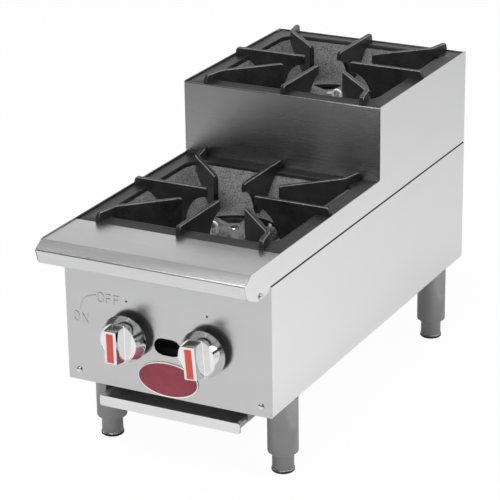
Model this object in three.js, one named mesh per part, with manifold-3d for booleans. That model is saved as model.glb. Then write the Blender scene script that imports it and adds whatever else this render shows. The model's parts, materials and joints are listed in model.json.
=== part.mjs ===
// A step-up countertop gas range with two open burners in line, the rear one a step higher.
// Millimetres, +Z up, +X to the right of the front, +Y from the front to the back. The origin is on the
// counter under the middle of the whole object.
import * as THREE from "three";
import { mergeVertices } from "three/addons/utils/BufferGeometryUtils.js";
import Module from "manifold-3d";

const wasm = await Module();
wasm.setup();

// Driving dimensions of the body.
const bodyWidth = 305;
const lowerHeight = 218.5; // underside of the body to the lower top edge
const stepRise = 105; // lower top edge to upper top edge
const seamDrop = 34; // lower top edge to the joint between the side sheets
const legHeight = 109; // counter to the underside of the body
const sheet = 1.2; // stainless sheet
const bend = 2.4; // outer radius of a fold in the sheet
const gap = 0.3; // clearance between pieces that touch
const hairline = 0.8; // open joint between the side sheets
const panelReturn = 14; // how far the front and rear panels fold back inside
const overrun = 4; // how far a cutting tool runs past what it cuts
const weld = 1e-4; // vertices nearer than this are one

// Places that several pieces share, worked out from the body.
const underside = legHeight;
const lowerTop = underside + lowerHeight;
const seam = lowerTop - seamDrop;
const upperTop = lowerTop + stepRise;
const halfWidth = bodyWidth / 2;
const halfInside = halfWidth - sheet - gap; // what fits between the side sheets

// The front ledge, a folded sheet that overhangs the front panel. Drops are measured from the ledge's top.
const ledge = {
  drop: 1.5, // below the edge of the side sheets
  back: 33,
  crease: 51,
  nose: 69,
  noseDrop: 9.5,
  lip: 63,
  lipDrop: 29.5,
  heelDrop: 33.5,
  hook: 12,
  backFlange: 22,
};
const ledgeTop = lowerTop - ledge.drop;

// The cast-iron top grate: a rim, a bowl that falls to a round burner opening, and eight arms.
const grate = {
  sideClearance: 0.7,
  endClearance: 1,
  rearClearance: 0.9,
  depth: 299,
  drop: 2.5, // rim top below the edge of the side sheets
  cornerRadius: 4,
  rim: 20.5,
  rimThickness: 6,
  lipRun: 9.5,
  lipDrop: 6.5,
  mouthRadius: 28,
  creaseHalfWidth: 90,
  creaseRadius: 52,
  creaseDrop: 37,
  openingRadius: 67,
  bowlDrop: 46,
  wall: 5,
  armThickness: 6,
  armRise: 12.5, // arm top above the rim
  armFoot: 1.5, // arm post inside the outer edge
  armEnd: 8, // where the post starts, inside the outer edge
  straightTip: 36,
  straightTipHeight: 13,
  diagonalTip: 68.5,
  diagonalTipHeight: 27,
  diagonalBend: 114,
  diagonalSplay: 7,
  bendRadius: 12,
};
const grateHalf = halfInside - grate.sideClearance;
const riserHem = 2.9;
const frontGrateStart = ledge.back + grate.endClearance;
const stepDepth = frontGrateStart + grate.depth + grate.endClearance; // front panel face to riser face
const rearGrateStart = stepDepth + riserHem + grate.endClearance;
const bodyDepth = rearGrateStart + grate.depth + grate.rearClearance + sheet; // front face to rear face
const frontBurnerY = frontGrateStart + grate.depth / 2;
const rearBurnerY = rearGrateStart + grate.depth / 2;

// The controls on the front panel. Heights are above the underside of the body.
const knob = {
  spacing: 58.4, // from the middle of the panel
  height: 77.7,
  standoff: 11,
  skirtRadius: 32.8,
  faceRadius: 27.2,
  skirtDepth: 17,
  skirtEdge: 1.6,
  wall: 2.2,
  faceEdge: 1.2,
  bossRadius: 8.5,
  gripWidth: 18.8,
  gripReach: 20,
  gripBase: 25.2, // from the middle of the knob to each end of the grip's foot
  gripTop: 24.4,
  gripBottom: 22.4,
  gripFall: 1, // how much nearer the panel the lower end of the grip is
  stemRadius: 4,
  stemClearance: 2.5,
  seatDepth: 12,
  inlayWidth: 9,
  inlayTop: 20.5,
  inlayBottom: 20.5,
  inlayDepth: 1,
};
const knobZ = underside + knob.height;
const sightSlot = { length: 40, height: 24, level: 71.5 };
const pilotHole = { spacing: 60, level: 126, radius: 1.6 };
const panelScrew = { inset: 14.5, level: 14 };
const panelScrewX = halfInside - panelScrew.inset;
const badge = { width: 91, height: 49.5, level: 25.5, thickness: 1 };

// The gas train.
const pipeRadius = 10.7;
const pipeWall = 2.8;
const valve = { front: 7, rear: 41, radius: 11, stubRadius: 6.5, pipeY: 26 };
const manifoldZ = knobZ - valve.radius - pipeRadius - gap * 2;
const burner = {
  offset: 4.5, // to the right of the middle of the grate
  topDrop: 40, // below the rim
  headHeight: 21,
  headRadius: 58,
  arms: 6,
  armWidth: 15,
  hubRadius: 23,
  potRadius: 27,
  potHeight: 34,
  tubeRadius: 13,
  bellRadius: 18,
  bellLength: 16,
  bellWall: 2.6,
  bellStart: 51,
};

const colours = {
  steel: [0xb8b9ba, 0.32, 1],
  steelDark: [0x8f9091, 0.4, 1],
  castIron: [0x1d1e1e, 0.62, 0.35],
  chrome: [0xe2e3e4, 0.08, 1],
  brass: [0xa88a4c, 0.35, 1],
  red: [0xb9342b, 0.35, 0],
  badgeRed: [0x8e2234, 0.3, 0.1],
  pipe: [0x2a2b2c, 0.6, 0.6],
  aluminium: [0xb4b6b8, 0.4, 1],
  rubber: [0x17181a, 0.8, 0],
};
const materials = Object.fromEntries(
  Object.entries(colours).map(([name, [color, roughness, metalness]]) => [
    name,
    new THREE.MeshStandardMaterial({ name, color, roughness, metalness }),
  ]),
);

// A closed three.js geometry as a solid that can be joined and cut.
function solid(geometry) {
  const bare = geometry.clone();
  bare.deleteAttribute("normal");
  bare.deleteAttribute("uv");
  const merged = mergeVertices(bare, weld);
  return new wasm.Manifold(
    new wasm.Mesh({
      numProp: 3,
      vertProperties: merged.attributes.position.array,
      triVerts: new Uint32Array(merged.index.array),
    }),
  );
}

// The finished solid as a geometry with flat-shaded faces.
function geometryOf(body) {
  const mesh = body.getMesh();
  const indexed = new THREE.BufferGeometry();
  indexed.setAttribute("position", new THREE.BufferAttribute(new Float32Array(mesh.vertProperties), 3));
  indexed.setIndex(new THREE.BufferAttribute(new Uint32Array(mesh.triVerts), 1));
  const flat = indexed.toNonIndexed();
  flat.computeVertexNormals();
  return flat;
}

const join = (...bodies) => bodies.reduce((a, b) => a.add(b));
const cut = (body, ...tools) => tools.reduce((a, b) => a.subtract(b), body);

const v2 = (x, y) => new THREE.Vector2(x, y);
const v3 = (x, y, z) => new THREE.Vector3(x, y, z);

// Which way an outline's own x, y and its depth point, for a prism along each axis.
const ahead = {
  x: new THREE.Matrix4().makeBasis(v3(0, 1, 0), v3(0, 0, 1), v3(1, 0, 0)),
  y: new THREE.Matrix4().makeBasis(v3(1, 0, 0), v3(0, 0, 1), v3(0, -1, 0)),
  z: new THREE.Matrix4(),
};

// An outline carried along one axis from one place to another. The outline is drawn in the other two axes.
function prism(axis, outline, from, to, holes = []) {
  const shape = outline.isShape ? outline : new THREE.Shape(outline);
  holes.forEach((hole) => shape.holes.push(new THREE.Path(hole)));
  const geometry = new THREE.ExtrudeGeometry(shape, { depth: to - from, bevelEnabled: false });
  geometry.applyMatrix4(ahead[axis]);
  const start = axis === "y" ? to : from;
  geometry.translate(axis === "x" ? start : 0, axis === "y" ? start : 0, axis === "z" ? start : 0);
  return solid(geometry);
}

const box = (x0, x1, y0, y1, z0, z1) =>
  solid(
    new THREE.BoxGeometry(x1 - x0, y1 - y0, z1 - z0).translate((x0 + x1) / 2, (y0 + y1) / 2, (z0 + z1) / 2),
  );

const rectangle = (x0, x1, y0, y1) => [v2(x0, y0), v2(x1, y0), v2(x1, y1), v2(x0, y1)];

// Points round an ellipse or circle.
function ring(cx, cy, rx, ry = rx, count = 24) {
  return Array.from({ length: count }, (_, i) => {
    const a = (i / count) * 2 * Math.PI;
    return v2(cx + rx * Math.cos(a), cy + ry * Math.sin(a));
  });
}

// An outline with two round ends, its long side along its own x.
function obround(cx, cy, length, width, count = 8) {
  const run = (length - width) / 2;
  const ends = [-0.5, 0.5].map((turn, side) =>
    Array.from({ length: count + 1 }, (_, i) => {
      const a = turn * Math.PI + (i / count) * Math.PI;
      return v2(cx + (side ? -run : run) + (width / 2) * Math.cos(a), cy + (width / 2) * Math.sin(a));
    }),
  );
  return ends.flat();
}

const turnOnto = {
  x: (g) => g.rotateZ(-Math.PI / 2),
  y: (g) => g,
  z: (g) => g.rotateX(Math.PI / 2),
};

// A profile of radius and place, turned about a line along one axis. It closes on itself.
function turned(axis, profile, a, b, count = 24) {
  const points = profile.map(([r, h]) => v2(Math.max(r, 0), h));
  const area = points.reduce((s, p, i) => {
    const q = points[(i + 1) % points.length];
    return s + p.x * q.y - q.x * p.y;
  }, 0);
  if (area < 0) points.reverse();
  const closed = [...points, points[0].clone()];
  const geometry = turnOnto[axis](new THREE.LatheGeometry(closed, count));
  if (axis === "x") geometry.translate(0, a, b);
  if (axis === "y") geometry.translate(a, 0, b);
  if (axis === "z") geometry.translate(a, b, 0);
  return solid(geometry);
}

const rod = (axis, radius, from, to, a, b, count = 16) =>
  turned(axis, [[0, from], [radius, from], [radius, to], [0, to]], a, b, count);

const pipe = (axis, radius, wall, from, to, a, b, count = 16) =>
  turned(axis, [[radius - wall, from], [radius, from], [radius, to], [radius - wall, to]], a, b, count);

// A round bar along a smooth curve through places, with the same number of rings between each pair.
function bentBar(places, radius, ringsPerSpan = 3, sides = 12) {
  const curve = new THREE.CatmullRomCurve3(places, false, "centripetal");
  const count = (places.length - 1) * ringsPerSpan;
  const tangents = Array.from({ length: count + 1 }, (_, i) => curve.getTangent(i / count));
  const normal = v3(0, 1, 0).cross(tangents[0]).lengthSq() > weld ? v3(0, 1, 0) : v3(1, 0, 0);
  normal.cross(tangents[0]).normalize();
  const points = [];
  tangents.forEach((tangent, i) => {
    if (i) normal.addScaledVector(tangent, -normal.dot(tangent)).normalize();
    const other = tangent.clone().cross(normal);
    const centre = curve.getPoint(i / count);
    ring(0, 0, radius, radius, sides).forEach((p) => {
      points.push(...centre.clone().addScaledVector(normal, p.x).addScaledVector(other, p.y).toArray());
    });
  });
  const faces = [];
  for (let i = 0; i < count; i++)
    for (let k = 0; k < sides; k++) {
      const [a, b] = [i * sides + k, i * sides + ((k + 1) % sides)];
      faces.push(a, b, b + sides, a, b + sides, a + sides);
    }
  const last = count * sides;
  for (let k = 1; k < sides - 1; k++) faces.push(0, k + 1, k, last, last + k, last + k + 1);
  const geometry = new THREE.BufferGeometry();
  geometry.setAttribute("position", new THREE.Float32BufferAttribute(points, 3));
  geometry.setIndex(faces);
  return solid(geometry);
}

// A path with its inner corners turned into arcs of one radius.
function filleted(points, radius, steps = 2) {
  const out = [points[0].clone()];
  for (let i = 1; i < points.length - 1; i++) {
    const before = points[i - 1].clone().sub(points[i]).normalize();
    const after = points[i + 1].clone().sub(points[i]).normalize();
    const half = Math.acos(THREE.MathUtils.clamp(before.dot(after), -1, 1)) / 2;
    const room = Math.min(points[i - 1].distanceTo(points[i]), points[i + 1].distanceTo(points[i])) / 2;
    const reach = Math.min(radius / Math.tan(half), room);
    const r = reach * Math.tan(half);
    const centre = before.clone().add(after).normalize().multiplyScalar(r / Math.sin(half)).add(points[i]);
    const start = before.clone().multiplyScalar(reach).add(points[i]).sub(centre);
    const end = after.clone().multiplyScalar(reach).add(points[i]).sub(centre);
    const sweep = Math.atan2(start.x * end.y - start.y * end.x, start.dot(end));
    for (let k = 0; k <= steps; k++)
      out.push(start.clone().rotateAround(v2(0, 0), (sweep * k) / steps).add(centre));
  }
  return [...out, points.at(-1).clone()];
}

// The section of a folded sheet: its outer face follows the path and its thickness lies to the left of it.
function folded(path, thickness = sheet, radius = bend) {
  const outer = filleted(path, radius);
  const inside = outer.map((p, i) => {
    const a = i ? p.clone().sub(outer[i - 1]).normalize() : null;
    const b = i < outer.length - 1 ? outer[i + 1].clone().sub(p).normalize() : null;
    const na = a ? v2(-a.y, a.x) : v2(-b.y, b.x);
    const nb = b ? v2(-b.y, b.x) : na;
    const mitre = na.clone().add(nb);
    return p.clone().add(mitre.multiplyScalar(thickness / (1 + na.dot(nb))));
  });
  return [...outer, ...inside.reverse()];
}

// The same body on the other side of the middle.
function mirrored(body) {
  const geometry = geometryOf(body).scale(-1, 1, 1);
  const p = geometry.attributes.position;
  const flipped = new Float32Array(p.array.length);
  for (let i = 0; i < p.count; i += 3)
    [0, 2, 1].forEach((k, j) => flipped.set([p.getX(i + k), p.getY(i + k), p.getZ(i + k)], (i + j) * 3));
  return solid(new THREE.BufferGeometry().setAttribute("position", new THREE.BufferAttribute(flipped, 3)));
}

const range = new THREE.Group();
range.name = "step_up_range";

function add(name, body, material, parent = range) {
  const mesh = new THREE.Mesh(geometryOf(body), materials[material]);
  mesh.name = name;
  parent.add(mesh);
  return mesh;
}

// Adds a piece made for the right side, and its twin for the left.
function addPair(name, body, material) {
  add(name + "_right", body, material);
  add(name + "_left", mirrored(body), material);
}

// Casing sheets

// The outline of the nose end of an upper side sheet, from the top edge forward, down and back to the panel.
const noseEnd = { proud: 0.6, toeDrop: 7.5, toe: 38, heel: 7, cornerRadius: 12 };

function upperSide() {
  const n = noseEnd;
  const toeZ = seam - n.toeDrop;
  const nose = [
    v2(-ledge.nose - n.proud, ledgeTop - ledge.noseDrop + n.proud),
    v2(-ledge.lip - n.proud, ledgeTop - ledge.lipDrop + n.proud),
    v2(-n.toe, toeZ),
    v2(-n.heel, toeZ),
    v2(-gap - sheet, seam),
  ];
  const outline = [
    v2(bodyDepth, seam),
    v2(bodyDepth, upperTop),
    v2(stepDepth, upperTop),
    v2(stepDepth, lowerTop),
    v2(-ledge.crease - n.proud, lowerTop),
    ...filleted(nose, n.cornerRadius, 3),
  ].reverse();
  const plate = prism("x", outline, halfWidth - sheet, halfWidth);
  const through = [halfWidth - sheet - overrun, halfWidth + overrun];
  const hole = rod("x", fastener.shank + gap, ...through, noseScrew.y, noseScrew.z);
  return cut(plate, hole);
}

const sideSheet = { flange: 22, lap: 9, step: 1.8 };

// The lower side sheet folds in under the body, and its top steps in behind the upper sheet.
function lowerSide() {
  const s = sideSheet;
  const lapFace = halfInside;
  const top = seam - hairline;
  const path = [
    v2(halfWidth - s.flange, underside),
    v2(halfWidth, underside),
    v2(halfWidth, top - s.step),
    v2(lapFace, top),
    v2(lapFace, seam + s.lap),
  ];
  const body = prism("y", folded(path, sheet, sheet * 1.1).reverse(), sheet + gap, bodyDepth);
  const studs = legPlaces().map(({ y }) =>
    rod("z", leg.studRadius + gap, underside - overrun, underside + overrun, legX, y, 16),
  );
  const room = panelReturn + gap;
  const inside = [halfWidth - s.flange - overrun, halfInside + gap / 2];
  const ends = [[-overrun, room], [bodyDepth - room, bodyDepth + overrun]].map(([from, to]) =>
    box(...inside, from, to, underside - overrun, seam + s.lap + overrun),
  );
  return cut(body, ...studs, ...ends);
}

const frontPanel = { topDrop: 15.5 }; // below the lower top edge

function panelCutouts() {
  const through = [-overrun, sheet + overrun];
  const stems = [-1, 1].map((s) =>
    rod("y", knob.stemRadius + knob.stemClearance, ...through, s * knob.spacing, knobZ, 14),
  );
  const pilots = [-1, 1].map((s) =>
    rod("y", pilotHole.radius, ...through, s * pilotHole.spacing, underside + pilotHole.level, 8),
  );
  const screws = [-1, 1].map((s) =>
    rod("y", fastener.shank + gap, ...through, s * panelScrewX, underside + panelScrew.level, 8),
  );
  const sight = obround(0, underside + sightSlot.level, sightSlot.length, sightSlot.height, 6);
  const slot = prism("y", sight, ...through);
  return [...stems, ...pilots, ...screws, slot];
}

// A face as wide as the body, which covers the ends of the side sheets, and a flanged pan behind it.
function makeFrontPanel() {
  const path = [
    v2(-halfInside, panelReturn),
    v2(-halfInside, 0),
    v2(halfInside, 0),
    v2(halfInside, panelReturn),
  ];
  const shell = prism("z", folded(path), underside, lowerTop - frontPanel.topDrop);
  const face = box(-halfWidth, halfWidth, 0, sheet, underside, seam - hairline);
  const foot = prism(
    "x",
    folded([v2(0, underside + panelReturn), v2(0, underside), v2(panelReturn, underside)]),
    sheet - halfInside,
    halfInside - sheet,
  );
  return cut(join(shell, face, foot), ...panelCutouts());
}

function makeLedge() {
  const heel = -gap - hairline;
  const path = [
    v2(ledge.back, ledgeTop - ledge.backFlange),
    v2(ledge.back, ledgeTop),
    v2(-ledge.crease, ledgeTop),
    v2(-ledge.nose, ledgeTop - ledge.noseDrop),
    v2(-ledge.lip, ledgeTop - ledge.lipDrop),
    v2(heel, ledgeTop - ledge.heelDrop),
    v2(heel, ledgeTop - ledge.heelDrop + ledge.hook),
  ];
  return prism("x", folded(path), -halfInside, halfInside);
}

const riserSheet = { foot: 25, hemDrop: 11 };

function makeRiser() {
  const top = upperTop - ledge.drop;
  const path = [
    v2(stepDepth + riserHem, top - riserSheet.hemDrop),
    v2(stepDepth + riserHem, top),
    v2(stepDepth, top),
    v2(stepDepth, lowerTop - riserSheet.foot),
  ];
  return prism("x", folded(path, sheet, sheet * 1.1), -halfInside, halfInside);
}

const rearPanel = { pipeClearance: 3 };

function makeRearPanel() {
  const path = [
    v2(halfInside, bodyDepth - panelReturn),
    v2(halfInside, bodyDepth),
    v2(-halfInside, bodyDepth),
    v2(-halfInside, bodyDepth - panelReturn),
  ];
  const shell = prism("z", folded(path), underside, upperTop - ledge.drop);
  const hole = rod(
    "y",
    pipeRadius + rearPanel.pipeClearance,
    bodyDepth - overrun,
    bodyDepth + overrun,
    supplyX,
    manifoldZ,
  );
  return cut(shell, hole);
}

// Inner frame

const topFrame = { inset: 2, thickness: 1.5, shelf: 14, skirt: 15 };
const grateRimTop = (top) => top - grate.drop;

// A ring of angle between the side sheets that the rim of a grate rests on.
function makeTopFrame(top, start, end) {
  const f = topFrame;
  const half = halfInside - f.inset;
  const high = grateRimTop(top) - grate.rimThickness - gap;
  const outer = rectangle(-half, half, start, end);
  const opening = rectangle(f.shelf - half, half - f.shelf, start + f.shelf, end - f.shelf).reverse();
  const inside = rectangle(f.thickness - half, half - f.thickness, start + f.thickness, end - f.thickness);
  return join(
    prism("z", outer, high - f.thickness, high, [opening]),
    prism("z", outer, high - f.skirt, high - f.thickness / 2, [inside.reverse()]),
  );
}

const rail = { width: 46, height: 20 };

// A channel across the body over a pair of legs, lying on the folds of the side sheets.
function makeRail(y) {
  const low = underside + sheet + gap;
  const path = [
    v2(y - rail.width / 2, low + rail.height),
    v2(y - rail.width / 2, low),
    v2(y + rail.width / 2, low),
    v2(y + rail.width / 2, low + rail.height),
  ];
  const half = halfWidth - sheet - bend;
  const studs = [-1, 1].map((s) =>
    rod("z", leg.studRadius + gap, low - overrun, low + overrun, s * legX, y, 16),
  );
  return cut(prism("x", folded(path), -half, half), ...studs);
}

const support = { width: 30, height: 12, thickness: 2, ear: 24 };

// A channel across the body under a burner, with an upturned ear at each side sheet.
function makeSupport(y, top) {
  const s = support;
  const path = [
    v2(y + s.width / 2, top - s.height),
    v2(y + s.width / 2, top),
    v2(y - s.width / 2, top),
    v2(y - s.width / 2, top - s.height),
  ];
  const half = halfInside - gap;
  const bar = prism("x", folded(path, s.thickness), -half, half);
  const ears = [-1, 1].map((side) => {
    const edges = [side * (half - s.thickness), side * half].sort((a, b) => a - b);
    return box(...edges, y - s.width / 2, y + s.width / 2, top - s.height, top + s.ear);
  });
  return join(bar, ...ears);
}

// Drip tray and its runners

const runner = { inset: 44.5, curl: 6.5, flange: 16, start: 18, rearInset: 41 };
const runnerFace = halfWidth - runner.inset;
const runnerEnd = bodyDepth - runner.rearInset;
const tray = {
  clearance: 9, // inside the runner's face
  flange: 6.5,
  top: 17, // below the underside of the body
  floor: 31.4,
  endClearance: 38, // short of the end of the runners
  lipOverhang: 6.7,
  lipHeight: 15,
  lipProud: 1.4,
  lipCorner: 3,
};
const trayHalf = runnerFace - tray.clearance;
const trayLength = runnerEnd - tray.endClearance;

function makeTray() {
  const flangeZ = underside - tray.top - sheet;
  const low = underside - tray.floor;
  const path = [
    v2(-trayHalf - tray.flange, flangeZ),
    v2(-trayHalf, flangeZ),
    v2(-trayHalf, low),
    v2(trayHalf, low),
    v2(trayHalf, flangeZ),
    v2(trayHalf + tray.flange, flangeZ),
  ];
  const trough = prism("y", folded(path).reverse(), sheet / 2, trayLength);
  const inside = trayHalf - sheet;
  const backWall = box(-inside, inside, trayLength - sheet, trayLength, low + sheet / 2, flangeZ);
  const lipOutline = roundedRectangle(trayHalf + tray.lipOverhang, low, low + tray.lipHeight, tray.lipCorner);
  const lip = prism("y", lipOutline, -tray.lipProud, sheet);
  return join(trough, backWall, lip);
}

// A rectangle about the middle with four round corners.
function roundedRectangle(half, low, high, radius, steps = 4) {
  const centres = [[1, 1], [-1, 1], [-1, -1], [1, -1]];
  return centres.flatMap(([sx, sy], corner) =>
    Array.from({ length: steps + 1 }, (_, i) => {
      const a = ((corner + i / steps) * Math.PI) / 2;
      const cx = sx * (half - radius);
      const cy = sy > 0 ? high - radius : low + radius;
      return v2(cx + radius * Math.cos(a), cy + radius * Math.sin(a));
    }),
  );
}

// A hanging rail whose curled lower edge carries the flange of the tray.
function makeRunner() {
  const floor = underside - tray.top - sheet - gap - sheet;
  const path = [
    v2(runnerFace - runner.curl, floor),
    v2(runnerFace, floor),
    v2(runnerFace, underside),
    v2(runnerFace + runner.flange, underside),
  ];
  return prism("y", folded(path, sheet, sheet * 1.1).reverse(), runner.start, runnerEnd);
}

// Legs

const leg = {
  inset: 20.8, // from the side of the body to the middle of a leg
  front: 71.3,
  rearInset: 66.7,
  radius: 21,
  shoulder: 5,
  footShow: 28, // height of the foot below the tube
  footRadius: 15.7,
  footFlare: 0.9,
  flareHeight: 4,
  studRadius: 6,
  studHeight: 12,
  bore: 16.3,
  boreDepth: 40,
  footReach: 32,
};
const legX = halfWidth - leg.inset;
const legPlaces = () => [
  { end: "front", y: leg.front },
  { end: "rear", y: bodyDepth - leg.rearInset },
];

// The tube hangs from a stud and is open below, where the foot screws in.
function makeLegTube(y) {
  const l = leg;
  const top = underside - gap;
  const low = l.footShow;
  const profile = [
    [0, top + l.studHeight],
    [l.studRadius, top + l.studHeight],
    [l.studRadius, top],
    [l.radius, top],
    [l.radius, low + l.shoulder],
    [l.radius - l.shoulder * 0.3, low + l.shoulder * 0.3],
    [l.radius - l.shoulder * 0.7, low],
    [l.bore, low],
    [l.bore, low + l.boreDepth],
    [0, low + l.boreDepth],
  ];
  return turned("z", profile, legX, y, 18);
}

function makeFoot(y) {
  const l = leg;
  const shank = l.bore - l.footRadius;
  const profile = [
    [0, 0],
    [l.footRadius - l.footFlare, 0],
    [l.footRadius + shank / 3, l.footFlare],
    [l.footRadius + shank / 3, l.flareHeight],
    [l.footRadius - l.footFlare, l.flareHeight + l.footFlare],
    [l.footRadius - l.footFlare, l.footShow - l.footFlare],
    [l.bore - gap, l.footShow],
    [l.bore - gap, l.footShow + l.footReach],
    [0, l.footShow + l.footReach],
  ];
  return turned("z", profile, legX, y, 16);
}

// Top grates

// One ring of a grate: points round a rounded rectangle, each on its own ray from the middle.
const ringCount = 32;
function grateRing(halfX, halfY, radius) {
  return Array.from({ length: ringCount }, (_, i) => {
    const a = (2 * Math.PI * i) / ringCount;
    const c = Math.cos(a);
    const s = Math.sin(a);
    const flat = Math.min(halfX / Math.max(Math.abs(c), weld), halfY / Math.max(Math.abs(s), weld));
    const cx = halfX - radius;
    const cy = halfY - radius;
    const along = Math.abs(c) * cx + Math.abs(s) * cy;
    const under = along * along - (cx * cx + cy * cy - radius * radius);
    const inCorner = Math.abs(c) * flat > cx && Math.abs(s) * flat > cy && under > 0;
    const reach = inCorner ? along + Math.sqrt(under) : flat;
    return [c * reach, s * reach];
  });
}

// The sections of the casting from the outer edge over the lip down the bowl, and back underneath.
function grateSections() {
  const g = grate;
  const hx = grateHalf;
  const hy = g.depth / 2;
  const at = (inset, radius, z) => ({ points: grateRing(hx - inset, hy - inset, radius), z });
  const round = (radius, z) => ({ points: grateRing(radius, radius, radius), z });
  const square = (half, radius, z) => ({ points: grateRing(half, half, radius), z });
  const lip = g.rim + g.lipRun;
  return {
    top: [
      at(0, g.cornerRadius, 0),
      at(g.rim, g.mouthRadius, 0),
      at(g.rim + g.lipRun * 0.55, g.mouthRadius, -g.lipDrop * 0.3),
      at(lip, g.mouthRadius, -g.lipDrop),
      square(g.creaseHalfWidth, g.creaseRadius, -g.creaseDrop),
      round(g.openingRadius, -g.bowlDrop),
    ],
    under: [
      round(g.openingRadius, -g.bowlDrop - g.wall),
      square(g.creaseHalfWidth + g.wall / 2, g.creaseRadius, -g.creaseDrop - g.wall),
      at(lip - g.wall, g.mouthRadius, -g.lipDrop - g.wall),
      at(g.rim - g.wall / 2, g.mouthRadius, -g.rimThickness),
      at(0, g.cornerRadius, -g.rimThickness),
    ],
  };
}

// A closed ring-shaped surface through sections with equal numbers of points.
function ringLoft(sections) {
  const points = sections.flatMap(({ points, z }) => points.map(([x, y]) => [x, y, z])).flat();
  const faces = [];
  sections.forEach((_, j) => {
    const next = (j + 1) % sections.length;
    for (let i = 0; i < ringCount; i++) {
      const k = (i + 1) % ringCount;
      const [a, b, c, d] = [j * ringCount + i, j * ringCount + k, next * ringCount + k, next * ringCount + i];
      faces.push(a, b, c, a, c, d);
    }
  });
  const geometry = new THREE.BufferGeometry();
  geometry.setAttribute("position", new THREE.Float32BufferAttribute(points, 3));
  geometry.setIndex(faces);
  return solid(geometry);
}

// Height of the middle of the casting's wall over a place, found on the ray from the middle through it.
function wallHeight(x, y) {
  const turns = Math.atan2(y, x) / (2 * Math.PI);
  const place = ((turns + 1) % 1) * ringCount;
  const i = Math.floor(place);
  const share = place - i;
  const reach = ({ points }) => {
    const near = Math.hypot(...points[i % ringCount]);
    const far = Math.hypot(...points[(i + 1) % ringCount]);
    return near + (far - near) * share;
  };
  const levels = grateSections().top.map((section) => [reach(section), section.z - grate.wall / 2]);
  const r = Math.hypot(x, y);
  const inner = levels.findIndex(([reached]) => reached < r);
  if (inner < 0) return levels.at(-1)[1];
  if (inner === 0) return levels[0][1];
  const [r0, z0] = levels[inner];
  const [r1, z1] = levels[inner - 1];
  return z0 + ((z1 - z0) * (r - r0)) / (r1 - r0);
}

// An upright web of even thickness along stations that hold a place and its top and bottom heights.
function web(stations, thickness) {
  const points = [];
  stations.forEach(({ x, y, top, low }, i) => {
    const a = stations[Math.max(i - 1, 0)];
    const b = stations[Math.min(i + 1, stations.length - 1)];
    const along = v2(b.x - a.x, b.y - a.y).normalize().multiplyScalar(thickness / 2);
    points.push([x - along.y, y + along.x, top], [x + along.y, y - along.x, top]);
    points.push([x + along.y, y - along.x, low], [x - along.y, y + along.x, low]);
  });
  const faces = [0, 3, 2, 0, 2, 1];
  for (let i = 0; i < stations.length - 1; i++)
    for (let k = 0; k < 4; k++) {
      const [a, b] = [4 * i + k, 4 * i + ((k + 1) % 4)];
      faces.push(a, b, b + 4, a, b + 4, a + 4);
    }
  const last = 4 * (stations.length - 1);
  faces.push(last, last + 1, last + 2, last, last + 2, last + 3);
  const geometry = new THREE.BufferGeometry();
  geometry.setAttribute("position", new THREE.Float32BufferAttribute(points.flat(), 3));
  geometry.setIndex(faces);
  return solid(geometry);
}

// Lower edge of an arm: a hollow curve that clears the burner, then the middle of the bowl's wall.
function armLow(x, y, tip, tipHeight) {
  const g = grate;
  const r = Math.hypot(x, y);
  const clear = Math.max(g.openingRadius, tip) + g.wall;
  const wall = wallHeight(x, y);
  if (r >= clear) return wall;
  const share = THREE.MathUtils.clamp((r - tip) / (clear - tip), 0, 1);
  const tipLow = g.armRise - tipHeight;
  return tipLow + (wall - tipLow) * (1 - Math.sqrt(1 - share * share));
}

const armTipShares = [0, 0.3, 0.6, 0.82, 0.95, 1];
const armWallShares = [0.4, 0.75];

// Distances from the middle at which an arm's edge is worked out.
function armReaches(tip, end) {
  const clear = Math.max(grate.openingRadius, tip) + grate.wall;
  const near = armTipShares.map((share) => tip + (clear - tip) * share);
  const far = armWallShares.map((share) => clear + (end - clear) * share);
  return [...near, ...far, end];
}

function straightArm(turn, half) {
  const g = grate;
  const direction = v2(Math.cos(turn), Math.sin(turn));
  const post = half - g.armFoot;
  const shoulder = half - g.armEnd;
  const station = (r, top) => {
    const p = direction.clone().multiplyScalar(r);
    const low = r > half - g.rim ? -g.rimThickness / 2 : armLow(p.x, p.y, g.straightTip, g.straightTipHeight);
    return { x: p.x, y: p.y, top, low };
  };
  const reaches = armReaches(g.straightTip, half - g.rim - g.lipRun);
  return web(
    [
      ...reaches.map((r) => station(r, g.armRise)),
      station(shoulder, g.armRise),
      station((shoulder + post) / 2, g.armRise * 0.75),
      station(post, g.armRise * 0.45),
    ],
    g.armThickness,
  );
}

// A diagonal arm runs out at 45 degrees, bends round and ends square to the front or rear edge.
function diagonalArm(sx, sy) {
  const g = grate;
  const half = g.depth / 2;
  const corner = v2(g.diagonalBend, g.diagonalBend);
  const tip = v2(1, 1).multiplyScalar(g.diagonalTip / Math.SQRT2);
  const end = v2(g.diagonalBend + g.diagonalSplay, half - g.armFoot);
  const run = filleted([tip, corner, end], g.bendRadius, 3).slice(1, -1);
  const reaches = armReaches(g.diagonalTip, run[0].length());
  const inner = reaches.slice(0, -1).map((r) => v2(1, 1).multiplyScalar(r / Math.SQRT2));
  const places = [...inner, ...run];
  const past = run.at(-1).distanceTo(end);
  const outShares = [0.35, 0.7, 1];
  const outTops = [g.armRise, g.armRise * 0.9, g.armRise * 0.45];
  const stations = places.map((p) => ({ p, top: g.armRise }));
  outShares.forEach((share, i) => {
    const p = run.at(-1).clone().lerp(end, share);
    stations.push({ p, top: past > 0 ? outTops[i] : g.armRise });
  });
  const made = stations.map(({ p, top }) => {
    const onRim = p.y > half - g.rim;
    const low = onRim ? -g.rimThickness / 2 : armLow(p.x, p.y, g.diagonalTip, g.diagonalTipHeight);
    return { x: p.x * sx, y: p.y * sy, top, low };
  });
  return web(made, g.armThickness);
}

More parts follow.
